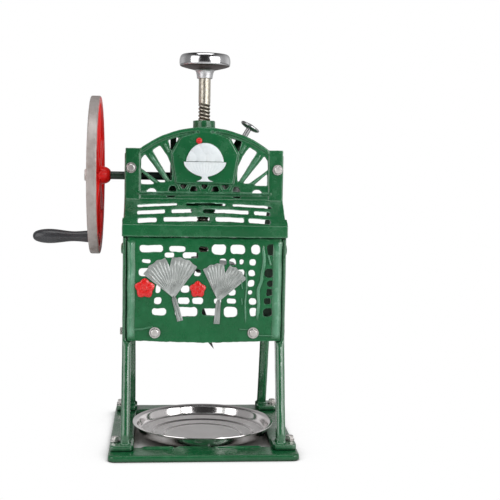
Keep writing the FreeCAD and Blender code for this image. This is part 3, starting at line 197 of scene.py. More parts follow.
def heightField(columns, rows, place):
    # grid with a back: place(u, v, front) gives each point, u and v from 0 to 1
    deselectAll()
    bpy.ops.mesh.primitive_grid_add(x_subdivisions=columns, y_subdivisions=rows, size=2)
    obj = bpy.context.object
    editAll(obj)
    bpy.ops.mesh.extrude_region_move(TRANSFORM_OT_translate={"value": (0, 0, -1)})
    mode("OBJECT")
    for vertex in obj.data.vertices:
        x, y, z = vertex.co
        vertex.co = place((x + 1) / 2, (y + 1) / 2, z > -0.5)
    recalculateNormals(obj)
    return obj


def joined(objs):
    activate(objs[0])
    for obj in objs:
        obj.select_set(True)
    bpy.ops.object.join()
    return bpy.context.object


# shader nodes
def newGroup(name, inputs, outputs):
    # inputs are (label, kind, value), outputs (label, kind)
    group = bpy.data.node_groups.new(name, "ShaderNodeTree")
    for label, kind, value in inputs:
        socket = group.interface.new_socket(label, in_out="INPUT", socket_type="NodeSocket" + kind)
        if value is not None:
            socket.default_value = value
    for label, kind in outputs:
        group.interface.new_socket(label, in_out="OUTPUT", socket_type="NodeSocket" + kind)
    entry = group.nodes.new("NodeGroupInput")
    leave = group.nodes.new("NodeGroupOutput")
    return group, entry.outputs, leave


def feed(tree, value, socket):
    if isinstance(value, bpy.types.NodeSocket):
        tree.links.new(value, socket)
    else:
        socket.default_value = value


def feedAll(tree, node, values):
    for label, value in values.items():
        feed(tree, value, node.inputs[label])


def addNode(tree, kind, settings=None, **links):
    # i0, i1... name the node's inputs by number, other names by label
    node = tree.nodes.new("ShaderNode" + kind)
    for key, value in (settings or {}).items():
        setattr(node, key, value)
    for key, value in links.items():
        socket = node.inputs[int(key[1:])] if key[0] == "i" and key[1:].isdigit() else node.inputs[key]
        feed(tree, value, socket)
    return node


def calculate(tree, operation, a, b=0.0, clamp=False):
    return addNode(tree, "Math", {"operation": operation, "use_clamp": clamp}, i0=a, i1=b).outputs[0]


def multiply(tree, a, b, clamp=False):
    return calculate(tree, "MULTIPLY", a, b, clamp)


def add(tree, a, b, clamp=False):
    return calculate(tree, "ADD", a, b, clamp)


def calculateVector(tree, operation, a, b=(0, 0, 0)):
    return addNode(tree, "VectorMath", {"operation": operation}, i0=a, i1=b).outputs


def mixColors(tree, factor, a, b):
    return addNode(tree, "Mix", {"data_type": "RGBA"}, i0=factor, i6=a, i7=b).outputs[2]


def mixShaders(tree, factor, a, b):
    return addNode(tree, "MixShader", i0=factor, i1=a, i2=b).outputs[0]


def remap(tree, value, low, high, toLow=0.0, toHigh=1.0):
    node = addNode(tree, "MapRange", {"clamp": True}, Value=value)
    feedAll(tree, node, {"From Min": low, "From Max": high, "To Min": toLow, "To Max": toHigh})
    return node.outputs[0]


def noise(tree, place, scale, detail=3.0, roughness=0.55):
    return addNode(tree, "TexNoise", Vector=place, Scale=scale, Detail=detail, Roughness=roughness).outputs[0]


def objectPlace(tree):
    return addNode(tree, "TexCoord").outputs["Object"]


def stretchedPlace(tree, scale):
    return addNode(tree, "Mapping", Vector=objectPlace(tree), Scale=scale).outputs[0]


def radialPlace(tree, axis, centre):
    # distance from an axis through centre, in metres
    keep = tuple(0.0 if c == axis else 1.0 for c in "xyz")
    moved = calculateVector(tree, "SUBTRACT", objectPlace(tree), centre)[0]
    return calculateVector(tree, "LENGTH", calculateVector(tree, "MULTIPLY", moved, keep)[0])["Value"]


def occlusion(tree, distance, samples=6):
    return addNode(tree, "AmbientOcclusion", {"samples": samples}, Distance=distance).outputs["AO"]


def bump(tree, height, strength, distance):
    return addNode(tree, "Bump", Strength=strength, Distance=distance, Height=height).outputs[0]


# shader node groups
def edgeWearAndHighlightGroup():
    # rubbed edges, partly wear and partly painted highlight: where the rounded normal leaves the face's own
    # normal, broken up by noise
    tree, given, leave = newGroup("edgeWearAndHighlight", [
        ("Radius", "Float", 0.0012), ("Break Up", "Float", 60.0), ("Amount", "Float", 0.5)],
        [("Mask", "Float")])
    soft = addNode(tree, "Bevel", {"samples": 4}, Radius=given["Radius"]).outputs[0]
    normal = addNode(tree, "NewGeometry").outputs["Normal"]
    edge = remap(tree, calculateVector(tree, "DOT_PRODUCT", soft, normal)["Value"], 0.995, 0.80)
    broken = remap(tree, noise(tree, objectPlace(tree), given["Break Up"], 4.0, 0.6), 0.38, 0.62)
    mask = multiply(tree, multiply(tree, edge, broken), given["Amount"], True)
    feed(tree, mask, leave.inputs["Mask"])
    return tree


castGrains = [(7.0, 1.0), (16.0, 3.0), (60.0, 3.0), (420.0, 2.0)]  # scale and detail, from swells to pits
castSkinLook = {"streaks": (34, 34, 5), "farRecess": 0.055, "bumpDistance": 0.0016}


def castSkinGroup():
    # brushed enamel over a sand casting: thick and thin paint, low lumps, fine pits, and recesses dulled and
    # darkened as painted shade
    tree, given, leave = newGroup("castSkin", [
        ("Paint", "Color", None), ("Thick", "Color", None), ("Thin", "Color", None), ("PaintedShade", "Color", None),
        ("Size", "Float", 1.0), ("Lumps", "Float", 0.5), ("Gloss", "Float", 0.25), ("Coat", "Float", 0.3),
        ("Recess", "Float", 0.010)],
        [("Color", "Color"), ("Roughness", "Float"), ("Coat", "Float"), ("Normal", "Vector")])
    place = objectPlace(tree)
    swell, clouds, dabs, fine = [noise(tree, place, multiply(tree, given["Size"], scale), detail)
                                 for scale, detail in castGrains]
    streaks = noise(tree, stretchedPlace(tree, castSkinLook["streaks"]), multiply(tree, given["Size"], 4.0))
    color = mixColors(tree, remap(tree, clouds, 0.38, 0.70, 0.0, 0.6), given["Paint"], given["Thick"])
    color = mixColors(tree, remap(tree, dabs, 0.54, 0.74, 0.0, 0.35), color, given["Thin"])
    color = mixColors(tree, remap(tree, streaks, 0.60, 0.80, 0.0, 0.30), color, given["Thin"])
    # darker where occlusion is high, in corners and deep recesses: painted shade
    corner = remap(tree, occlusion(tree, given["Recess"]), 0.30, 0.80, 0.55, 0.0)
    depth = remap(tree, occlusion(tree, castSkinLook["farRecess"]), 0.10, 0.55, 0.85, 0.0)
    paintedShadeMask = calculate(tree, "MAXIMUM", corner, depth)
    rough = add(tree, given["Gloss"], remap(tree, dabs, 0.3, 0.8, -0.05, 0.12))
    rough = add(tree, rough, remap(tree, fine, 0.5, 0.8, 0.0, 0.08))
    lumps = add(tree, multiply(tree, clouds, 1.1), multiply(tree, dabs, 0.30))
    height = add(tree, add(tree, multiply(tree, swell, 5.5), lumps), multiply(tree, fine, 0.030))
    feedAll(tree, leave, {
        "Color": mixColors(tree, paintedShadeMask, color, given["PaintedShade"]),
        "Roughness": add(tree, rough, multiply(tree, paintedShadeMask, 0.40)),
        "Coat": multiply(tree, calculate(tree, "SUBTRACT", 1.0, paintedShadeMask), given["Coat"]),
        "Normal": bump(tree, height, given["Lumps"], castSkinLook["bumpDistance"])})
    return tree


def machinedGroup():
    # turned or polished metal: fine marks along one way, smudges, dark spots of oil, and painted shade
    # darkening where parts meet
    tree, given, leave = newGroup("machinedSkin", [
        ("Metal", "Color", None), ("Stain", "Color", None), ("Marks", "Vector", (1, 1, 1)),
        ("Stains", "Float", 0.4), ("Gloss", "Float", 0.2), ("Depth", "Float", 0.15),
        ("JointShade", "Float", 0.0022)], [("Color", "Color"), ("Roughness", "Float"), ("Normal", "Vector")])
    place = objectPlace(tree)
    marks = noise(tree, stretchedPlace(tree, given["Marks"]), 60.0, 4.0, 0.65)
    smudge = noise(tree, place, 26.0, 4.0, 0.6)
    spots = noise(tree, place, 130.0, 3.0, 0.6)
    stained = remap(tree, add(tree, smudge, multiply(tree, spots, 0.4)), 0.62, 0.92)
    dirty = multiply(tree, stained, given["Stains"], True)
    color = mixColors(tree, remap(tree, marks, 0.35, 0.75, 0.0, 0.22), given["Metal"], given["Stain"])
    color = mixColors(tree, dirty, color, given["Stain"])
    # darker near other parts, from occlusion: painted shade
    joint = remap(tree, occlusion(tree, given["JointShade"]), 0.35, 0.85, 0.75, 0.0)
    rough = add(tree, given["Gloss"], remap(tree, marks, 0.3, 0.8, -0.03, 0.10))
    feedAll(tree, leave, {
        "Color": mixColors(tree, joint, color, linear(30, 28, 26)),
        "Roughness": add(tree, rough, multiply(tree, dirty, 0.25)),
        "Normal": bump(tree, add(tree, marks, multiply(tree, spots, 0.25)), given["Depth"], 0.0004)})
    return tree


edgeWearAndHighlight = edgeWearAndHighlightGroup()
castSkin = castSkinGroup()
machinedSkin = machinedGroup()
print("node groups made")

# materials
coatRoughness = 0.14


def newMaterial(name):
    material = bpy.data.materials.new(name)
    material.use_nodes = True
    tree = material.node_tree
    tree.nodes.clear()
    shader = addNode(tree, "BsdfPrincipled")
    output = addNode(tree, "OutputMaterial")
    feed(tree, shader.outputs[0], output.inputs["Surface"])
    return material, tree, shader


def useGroup(tree, group, values):
    node = addNode(tree, "Group", {"node_tree": group})
    feedAll(tree, node, values)
    return node.outputs


def enamel(name, paint, thick, thin, deep, wornAndLit, size=1.0, lumps=0.5, gloss=0.22, wear=0.6, coat=0.35,
           metallic=0.0, recess=0.010, specular=0.5, edge=0.0017):
    material, tree, shader = newMaterial(name)
    skin = useGroup(tree, castSkin, {"Paint": paint, "Thick": thick, "Thin": thin, "PaintedShade": deep, "Size": size,
                                     "Lumps": lumps, "Gloss": gloss, "Coat": coat, "Recess": recess})
    # edges mixed towards the paler worn colour: wear and painted highlight
    wornAndHighlighted = useGroup(tree, edgeWearAndHighlight, {"Radius": edge, "Break Up": 55.0, "Amount": wear})
    feedAll(tree, shader, {
        "Base Color": mixColors(tree, wornAndHighlighted["Mask"], skin["Color"], wornAndLit), "Roughness": skin["Roughness"],
        "Coat Weight": skin["Coat"], "Normal": skin["Normal"], "Coat Roughness": coatRoughness,
        "Metallic": metallic, "Specular IOR Level": specular})
    return material


def metal(name, color, stain, marks, stains, gloss, depth, joint=0.0022):
    material, tree, shader = newMaterial(name)
    skin = useGroup(tree, machinedSkin, {"Metal": color, "Stain": stain, "Marks": marks, "Stains": stains,
                                         "Gloss": gloss, "Depth": depth, "JointShade": joint})
    feedAll(tree, shader, {"Base Color": skin["Color"], "Roughness": skin["Roughness"],
                           "Normal": skin["Normal"], "Metallic": 1.0})
    return material


# the deep colour of each paint is painted shade for its recesses
paintColors = {
    "green": (18, 95, 53), "greenThick": (11, 77, 41), "greenThin": (42, 116, 74),
    # the pale worn colours are for edges: wear and painted highlight
    "greenPaintedShade": (6, 28, 16), "greenWornAndLit": (112, 168, 136), "hoodWornAndLit": (134, 184, 158),
    "red": (216, 26, 24), "redThick": (188, 16, 18), "redThin": (228, 66, 56),
    "redPaintedShade": (92, 10, 12), "redWornAndLit": (206, 120, 112),
    "white": (220, 226, 228), "whiteThick": (204, 211, 216), "whiteThin": (238, 239, 240),
    "whitePaintedShade": (104, 124, 116),
    "silver": (170, 174, 172), "silverThick": (136, 142, 138), "silverThin": (214, 216, 214),
    "silverPaintedShade": (84, 92, 86),
    "black": (30, 36, 32), "blackThick": (16, 18, 17), "blackThin": (54, 60, 56),
    "blackPaintedShade": (8, 9, 8),
}
paints = {name: linear(*color) for name, color in paintColors.items()}


def paintOf(name, color, wornAndLit, **look):
    shades = [paints[color + shade] for shade in ("", "Thick", "Thin", "PaintedShade")]
    return enamel(name, *shades, paints[wornAndLit], **look)


greenEnamel = paintOf("greenEnamel", "green", "greenWornAndLit", lumps=0.55, gloss=0.23, wear=0.8, coat=0.30)
hoodGreen = paintOf("hoodGreen", "green", "hoodWornAndLit", lumps=0.7, gloss=0.22, wear=1.0, coat=0.40,
                    specular=0.6, edge=0.0028)
panelGreen = paintOf("panelGreen", "green", "greenWornAndLit", lumps=0.55, gloss=0.26, wear=0.95, coat=0.10,
                     specular=0.32)
legGreen = paintOf("legGreen", "green", "greenWornAndLit", lumps=0.5, gloss=0.25, wear=0.8, coat=0.8, specular=1.0)


def paleTopHighlightMaterial(name, footAt, topAt):
    # raised lines: green at their feet, pale along their tops as painted highlight
    material = enamel(name, linear(84, 142, 110), linear(34, 106, 66), linear(146, 188, 166),
                      paints["greenPaintedShade"], linear(160, 196, 176), size=1.6, lumps=0.7, gloss=0.22, wear=0.9,
                      coat=0.5)
    tree = material.node_tree
    shader = tree.nodes["Principled BSDF"]
    wornAndHighlighted = shader.inputs["Base Color"].links[0].from_socket
    height = addNode(tree, "SeparateXYZ", Vector=objectPlace(tree)).outputs["Y"]
    # tops paler than feet: painted highlight
    top = remap(tree, height, footAt, topAt)
    feed(tree, mixColors(tree, top, paints["green"], wornAndHighlighted), shader.inputs["Base Color"])
    return material


highlightedLineGreen = paleTopHighlightMaterial("highlightedLineGreen", -0.0902, -0.0920)
highlightedHeadGreen = paleTopHighlightMaterial("highlightedHeadGreen", -0.0423, -0.0438)
# darker, dull green for the inner faces: painted shade
dullShadeGreen = enamel("dullShadeGreen", paints["greenThick"], paints["greenPaintedShade"], paints["green"],
                   paints["greenPaintedShade"], paints["greenThin"], lumps=0.4, gloss=0.72, wear=0.3, coat=0.0,
                   specular=0.12)
redEnamel = paintOf("redEnamel", "red", "redWornAndLit", size=2.2, lumps=0.45, gloss=0.24, wear=0.35)
whiteEnamel = paintOf("whiteEnamel", "white", "whiteThin", size=2.5, lumps=0.45, gloss=0.34, wear=0.1,
                      coat=0.15, recess=0.0025)
silverPaint = paintOf("silverPaint", "silver", "silverThin", size=2.4, lumps=0.5, gloss=0.34, wear=0.7,
                      coat=0.0, metallic=0.45, recess=0.0030)
axlePaint = enamel("axlePaint", linear(34, 66, 50), paints["black"], paints["green"], paints["blackPaintedShade"],
                   paints["silverThick"], size=2.0, lumps=0.3, gloss=0.30, wear=0.4, coat=0.1)
blackPaint = paintOf("blackPaint", "black", "silverThick", size=2.0, lumps=0.3, gloss=0.36, wear=0.6,
                     coat=0.1)

knobChrome = metal("knobChrome", linear(196, 196, 198), linear(120, 118, 116), (5, 5, 5), 0.7, 0.22, 0.2)
zincPlate = metal("zincPlate", linear(236, 233, 231), linear(182, 174, 164), (2, 2, 2), 0.5, 0.32, 0.2,
                  joint=0.0045)
toolSteel = metal("toolSteel", linear(176, 178, 180), linear(96, 92, 86), (1, 14, 14), 0.5, 0.24, 0.3)
gearIron = metal("gearIron", linear(112, 110, 106), linear(40, 34, 28), (3, 3, 3), 0.9, 0.34, 0.5)
tinnedIron = metal("tinnedIron", linear(168, 170, 172), linear(98, 96, 92), (3, 3, 3), 0.7, 0.30, 0.4)
bronze = metal("bushBronze", linear(176, 132, 74), linear(84, 58, 30), (2, 2, 12), 0.7, 0.30, 0.3)

dishSteel = {
    "centre": (0.0036, -0.0115, 0.0), "ringsPerMetre": 900.0, "satinWithin": 0.0950, "satinFade": 0.003,
    "polishedSteps": (0.0772, 0.0595), "stepHalf": 0.0012, "color": linear(240, 236, 236),
    "smudged": linear(214, 208, 208),
}


def stainlessMaterial():
    # pressed dish: polishing rings about the dish's own centre
    material, tree, shader = newMaterial("stainless")
    radius = radialPlace(tree, "z", dishSteel["centre"])
    scaled = addNode(tree, "CombineXYZ", X=multiply(tree, radius, dishSteel["ringsPerMetre"])).outputs[0]
    rings = noise(tree, scaled, 1.0, 3.0, 0.7)
    smudge = noise(tree, objectPlace(tree), 16.0, 4.0, 0.6)
    smudged = remap(tree, smudge, 0.40, 0.75, 0.0, 0.55)
    satin = remap(tree, radius, dishSteel["satinWithin"], dishSteel["satinWithin"] - dishSteel["satinFade"])
    half = dishSteel["stepHalf"]
    for step in dishSteel["polishedSteps"]:
        away = calculate(tree, "ABSOLUTE", calculate(tree, "SUBTRACT", radius, step))
        satin = multiply(tree, satin, remap(tree, away, half, half * 2))
    rough = add(tree, remap(tree, rings, 0.3, 0.7, 0.09, 0.15), remap(tree, smudge, 0.45, 0.8, 0.0, 0.06))
    feedAll(tree, shader, {
        "Base Color": mixColors(tree, smudged, dishSteel["color"], dishSteel["smudged"]),
        "Roughness": add(tree, rough, multiply(tree, satin, 0.24)), "Normal": bump(tree, rings, 0.05, 0.0002),
        "Metallic": remap(tree, satin, 0.0, 1.0, 1.0, 0.14)})
    return material


def threadMaterial():
    # bright crests with dark grease in the roots
    rootRadius = 0.0076
    crestRadius = 0.0088
    material, tree, shader = newMaterial("threadSteel")
    crest = remap(tree, radialPlace(tree, "z", (0.0, 0.0, 0.0)), rootRadius, crestRadius)
    spots = noise(tree, objectPlace(tree), 240.0, 4.0, 0.6)
    steel = mixColors(tree, remap(tree, spots, 0.4, 0.75), linear(200, 194, 182), linear(150, 142, 126))
    feedAll(tree, shader, {
        "Base Color": mixColors(tree, crest, linear(52, 40, 30), steel),
        "Roughness": remap(tree, crest, 0.0, 1.0, 0.60, 0.38),
        "Metallic": remap(tree, crest, 0.1, 0.8, 0.35, 1.0), "Normal": bump(tree, spots, 0.2, 0.0003)})
    return material


wheelLook = {"centre": (0.0, 0.0, 0.396), "bareFrom": 0.1163, "ragged": 0.0004, "bareFade": 0.0003}


def wheelMaterial():
    # red enamel inside, and a turned rim that was left bare
    material, tree, shader = newMaterial("wheelEnamel")
    grain = noise(tree, objectPlace(tree), 90.0, 3.0, 0.6)
    ragged = remap(tree, grain, 0.3, 0.7, -wheelLook["ragged"], wheelLook["ragged"])
    radius = add(tree, radialPlace(tree, "x", wheelLook["centre"]), ragged)
    bare = remap(tree, radius, wheelLook["bareFrom"], wheelLook["bareFrom"] + wheelLook["bareFade"])
    # the darkest red here is the painted shade in the wheel's recesses
    skin = useGroup(tree, castSkin, {"Paint": linear(228, 24, 20), "Thick": linear(206, 16, 16),
                                     "Thin": linear(236, 62, 52), "PaintedShade": linear(120, 8, 10), "Size": 1.3,
                                     "Lumps": 0.4, "Gloss": 0.30, "Coat": 0.05})
    wornAndHighlighted = useGroup(tree, edgeWearAndHighlight, {"Radius": 0.0012, "Break Up": 70.0, "Amount": 0.45})
    # paler red on edges: wear and painted highlight
    painted = mixColors(tree, wornAndHighlighted["Mask"], skin["Color"], paints["redWornAndLit"])
    turned = useGroup(tree, machinedSkin, {"Metal": linear(182, 174, 171), "Stain": linear(142, 128, 121),
                                           "Marks": (14, 1.5, 1.5), "Stains": 0.8, "Gloss": 0.38,
                                           "Depth": 0.35})
    rough = addNode(tree, "Mix", {"data_type": "FLOAT"}, i0=bare, i2=skin["Roughness"],
                    i3=turned["Roughness"])
    normal = addNode(tree, "Mix", {"data_type": "VECTOR"}, i0=bare, i4=skin["Normal"], i5=turned["Normal"])
    feedAll(tree, shader, {
        "Base Color": mixColors(tree, bare, painted, turned["Color"]), "Roughness": rough.outputs[0],
        "Metallic": multiply(tree, bare, 0.35), "Normal": normal.outputs[1], "Specular IOR Level": 0.22,
        "Coat Weight": multiply(tree, calculate(tree, "SUBTRACT", 1.0, bare), skin["Coat"]),
        "Coat Roughness": coatRoughness})
    return material


def gripMaterial():
    # moulded grip, polished by the hand, with a few long scuffs
    material, tree, shader = newMaterial("gripBlack")
    clouds = noise(tree, objectPlace(tree), 30.0, 4.0, 0.6)
    scuffs = noise(tree, stretchedPlace(tree, (6, 60, 60)), 8.0, 4.0, 0.7)
    color = mixColors(tree, remap(tree, clouds, 0.35, 0.75), linear(56, 57, 60), linear(72, 73, 76))
    color = mixColors(tree, remap(tree, scuffs, 0.62, 0.80, 0.0, 0.5), color, linear(92, 93, 96))
    height = add(tree, clouds, multiply(tree, scuffs, 0.3))
    feedAll(tree, shader, {"Base Color": color, "Roughness": remap(tree, clouds, 0.3, 0.8, 0.20, 0.32),
                           "Normal": bump(tree, height, 0.15, 0.0004)})
    return material


handwheelLook = {"hubRadius": 0.0152, "hubFade": 0.0015, "lipHeight": 0.5616, "lipFade": 0.0004}


def handwheelMaterial():
    # bright plated rim, satin hub, and a dull underside painted dark as painted shade
    hub = handwheelLook["hubRadius"]
    lip = handwheelLook["lipHeight"]
    material, tree, shader = newMaterial("chromePlate")
    skin = useGroup(tree, machinedSkin, {"Metal": linear(210, 210, 212), "Stain": linear(150, 148, 144),
                                         "Marks": (1, 1, 6), "Stains": 0.12, "Gloss": 0.12, "Depth": 0.02})
    height = addNode(tree, "SeparateXYZ", Vector=objectPlace(tree)).outputs["Z"]
    radius = radialPlace(tree, "z", (0.0, 0.0, 0.0))
    outside = remap(tree, radius, hub, hub + handwheelLook["hubFade"])
    under = multiply(tree, outside, remap(tree, height, lip + handwheelLook["lipFade"], lip))
    rough = add(tree, skin["Roughness"], remap(tree, outside, 0.0, 1.0, 0.26, 0.0))
    feedAll(tree, shader, {
        # underside colour darkened: painted shade
        "Base Color": mixColors(tree, under, skin["Color"], linear(84, 72, 70)),
        "Roughness": add(tree, rough, multiply(tree, under, 0.22)), "Normal": skin["Normal"],
        "Metallic": 1.0})
    return material


chrome = handwheelMaterial()
stainless = stainlessMaterial()
threadSteel = threadMaterial()
wheelEnamel = wheelMaterial()
gripBlack = gripMaterial()
print("materials made")

# castings
sideCasting = {"voxel": 0.0014, "sway": 0.0, "lump": 0.0005, "keep": 0.5, "smoothing": 9, "paint": legGreen}
piercedCastings = {
    "headHood": {"node": "head_casting", "voxel": 0.00095, "sway": 0.0012, "lump": 0.0004, "keep": 0.50,
                 "smoothing": 4, "paint": hoodGreen},
    "latticePanel": {"node": "front_panel", "voxel": 0.0010, "sway": 0.0024, "lump": 0.0005, "keep": 0.8,
                     "smoothing": 3, "paint": panelGreen},
    "castBase": {"node": "base_frame", "voxel": 0.0014, "sway": 0.0, "lump": 0.0004, "keep": 0.6,
                 "smoothing": 9, "paint": greenEnamel},
    "leftSideCasting": {"node": "left_side_frame", **sideCasting},
    "rightSideCasting": {"node": "right_side_frame", **sideCasting},
}
legs = {
    "innerFace": 0.1046, "middle": 0.111, "half": 0.0070,  # as |x|
    "swell": 0.0033, "low": 0.018, "lowFade": 0.012, "high": 0.160, "highFade": 0.010,
}
ledge = {"reach": 0.004, "lift": 0.0018, "gap": 0.0009}


def shadeInside(piece):
    # inner faces get one dull coat, darker in colour as painted shade
    piece.data.materials.append(dullShadeGreen)
    for face in piece.data.polygons:
        out = abs(face.center.x)
        if out < legs["innerFace"] and face.normal.x * face.center.x < -0.5 * out:
            face.material_index = 1


def crownLegs(piece):
    # the legs' front faces swell a little between their edges, as the pattern maker filed them
    for vertex in piece.data.vertices:
        across = (abs(vertex.co.x) - legs["middle"]) / legs["half"]
        rise = max(0.0, (vertex.co.z - legs["low"]) / legs["lowFade"])
        fall = max(0.0, (legs["high"] - vertex.co.z) / legs["highFade"])
        if vertex.normal.y < -0.3 and abs(across) < 1:
            vertex.co.y -= legs["swell"] * (1 - across * across) * min(1.0, rise, fall)


def meetLedge(piece):
    # the panel's top edge is filed to reach the ledge above it
    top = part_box("front_panel")[1][2]
    for vertex in piece.data.vertices:
        share = min(1.0, max(0.0, (vertex.co.z - top + ledge["reach"]) / ledge["reach"]))
        vertex.co.z = min(vertex.co.z + ledge["lift"] * share, top + ledge["gap"])


for name, values in piercedCastings.items():
    piece = handCasting(values)
    if "Side" in name:
        crownLegs(piece)
    if name == "latticePanel":
        meetLedge(piece)
    finishPiece(piece, name, "frame", values["paint"], [values["node"]], "green_enamel", 60)
    if "Side" in name:
        shadeInside(piece)
    print(name, len(piece.data.polygons), "faces")

innerCastings = {
    "bladeTable": {"node": "blade_bed", "width": 0.0008, "paint": tinnedIron, "slot": "ground_steel"},
    "gearBridge": {"node": "bearing_bridge", "width": 0.0012, "paint": greenEnamel, "slot": "green_enamel"},
}
for name, values in innerCastings.items():
    piece = easedCasting(values["node"], values["width"])
    finishPiece(piece, name, "frame", values["paint"], [values["node"]], values["slot"])
print("castings made")

wheel = {"node": "flywheel", "voxel": 0.0012, "sway": 0.0, "lump": 0.0002, "keep": 0.9, "smoothing": 3}
finishPiece(handCasting(wheel), "spokedWheel", "wheel", wheelEnamel, [wheel["node"]], "red_enamel", 50)
print("wheel made")

# dish
dish = {"radius": 107.0, "height": 24.0, "centre": dishSteel["centre"], "axis": (0, 0, 1), "steps": 144,
        "angle": 40}
r = dish["radius"]
under = [  # radius and height, from the middle out
    (0, 0.2), (r - 52, 0.2), (r - 50, 0.25), (r - 47.5, 2.0), (r - 45, 2.6), (r - 32, 3.4), (r - 30, 3.6),
    (r - 28, 5.3), (r - 26, 5.9), (r - 20, 6.3), (r - 14.0, 6.9), (r - 10.8, 8.0), (r - 9.3, 9.8),
    (r - 6.6, 18.2), (r - 5.4, 20.5), (r - 3.6, 21.7), (r - 1.5, 22.1), (r - 0.15, 22.5), (r, 23.3),
]
over = [  # and back to the middle
    (r - 0.35, dish["height"] - 0.05), (r - 2.0, 23.6), (r - 4.0, 23.1), (r - 6.0, 22.3), (r - 7.4, 19.6),
    (r - 10.2, 10.9), (r - 11.6, 9.2), (r - 14.4, 8.2), (r - 21.4, 7.5), (r - 26.6, 7.0), (r - 28.8, 6.3),
    (r - 30.8, 4.7), (r - 32.6, 4.45), (r - 45.4, 3.7), (r - 48.3, 2.9), (r - 50.8, 1.3), (r - 53, 1.2),
    (0, 1.2),
]
turnPiece("steelDish", dish, rounded(under, 1) + rounded(over, 1), "dish", stainless, "drip_dish",
          "stainless")
print("dish made")

# grip
grip = {"length": 84.7, "bore": 4.6, "boreLow": 9.6, "centre": (-0.2545, 0.0, 0.3035), "axis": (1, 0, 0),
        "steps": 64, "angle": 50}
n = grip["length"]
bore = grip["bore"]
outside = [
    (0, 0), (2.6, 0.15), (5.2, 1.6), (7.4, 4.6), (9.2, 9.6), (10.4, 16), (10.9, 23), (10.7, 31), (9.7, 40),
    (8.3, 50), (7.5, 58), (7.6, 66), (8.2, 74), (8.8, n - 5), (8.9, n - 2.5), (8.6, n - 0.6), (8.0, n),
]
inside = [(bore + 0.6, n), (bore, n - 0.6), (bore, grip["boreLow"]), (0, grip["boreLow"])]
turnPiece("turnedGrip", grip, rounded(outside, 2) + inside, "grip", gripBlack, "crank_grip", "grip_black")
print("grip made")

# handwheel and lock knob
handwheel = {"bore": 9.02, "neck": 6.02, "step": 6.0, "top": 29.0, "centre": (0, 0, 0.543),
             "axis": (0, 0, 1), "steps": 96, "angle": 45}
bore = handwheel["bore"]
neck = handwheel["neck"]
outside = [
    (bore, 0), (11.0, 0.0), (11.6, 0.5), (11.8, 2.0), (12.6, 8.0), (13.6, 10.8), (15.0, 12.3),
    (18.0, 13.4), (24.0, 14.7), (30.0, 16.2), (34.6, 17.6), (36.4, 18.3), (37.5, 19.3), (38.1, 21.5),
    (38.3, 25.6), (37.9, 29.4), (36.7, 33.0), (34.6, 35.5), (31.2, 36.0), (27.6, 35.3),
    (24.0, 32.9), (19.5, 30.4), (15.0, 29.3), (12.0, handwheel["top"]), (neck, handwheel["top"]),
]
inside = [(neck, handwheel["step"]), (bore, handwheel["step"]), (bore, 0)]
turnPiece("chromeHandwheel", handwheel, rounded(outside, 2) + inside, "spindle", chrome, "top_handwheel",
          "chrome_plate")

lockTilt = math.radians(59.8)
knob = {"centre": (0.0694275, 0.0, 0.471992), "axis": (math.cos(lockTilt), 0.0, math.sin(lockTilt)),
        "steps": 64, "angle": 45}
outline = [
    (0, -3.5), (4.02, -3.5), (6.4, -3.4), (8.4, -3.1), (12.2, -2.3), (14.4, -1.2), (15.4, 0.0), (15.6, 1.2),
    (15.2, 2.3), (13.8, 3.1), (11.2, 3.7), (9.0, 3.5), (7.0, 3.9), (4.2, 4.7), (2.0, 4.95), (0, 5.0),
]
turnPiece("lockKnob", knob, rounded(outline, 2), "lock", knobChrome, "lock_knob", "chrome_plate")
print("handwheel and knob made")

# feed spindle with its thread
feedScrew = {
    "radius": 9.0, "root": 7.4, "pitch": 5.3, "starts": -2, "low": 280.0, "high": 508.0, "perTurn": 10,
    "around": 60, "rootShare": 0.22, "flankShare": 0.46,
    "plain": [(250.0, 5.4), (250.6, 6.0), (259.9, 6.0), (260.0, 9.0), (278.0, 9.0)],
    "top": [(510.0, 9.0), (548.9, 9.0), (549.0, 6.0), (573.4, 6.0), (574.0, 5.4)],
    "keyHalf": 2.6, "keyDepth": 3.0, "keyLow": 279.0, "keyHigh": 506.0, "keyPast": 3.0,
}


def threadRadius(angle, z):
    pitch = feedScrew["pitch"]
    turnShare = (z / pitch - feedScrew["starts"] * angle / (2 * math.pi)) % 1.0
    wave = abs(turnShare - 0.5) * 2  # 0 at a root, 1 at a crest
    flank = min(1.0, max(0.0, (wave - feedScrew["rootShare"]) / feedScrew["flankShare"]))
    runOut = min(1.0, (z - feedScrew["low"]) / pitch, (feedScrew["high"] - z) / pitch)
    depth = (feedScrew["radius"] - feedScrew["root"]) * max(0.0, runOut)
    return feedScrew["radius"] - depth * (1 - flank)


def keywayCutter():
    deselectAll()
    bpy.ops.mesh.primitive_cube_add(size=1)
    cutter = bpy.context.object
    radius = feedScrew["radius"]
    low = Vector((-feedScrew["keyHalf"], radius - feedScrew["keyDepth"], feedScrew["keyLow"])) * mm
    high = Vector((feedScrew["keyHalf"], radius + feedScrew["keyPast"], feedScrew["keyHigh"])) * mm
    for vertex in cutter.data.vertices:
        vertex.co = [high[i] if vertex.co[i] > 0 else low[i] for i in range(3)]
    return cutter


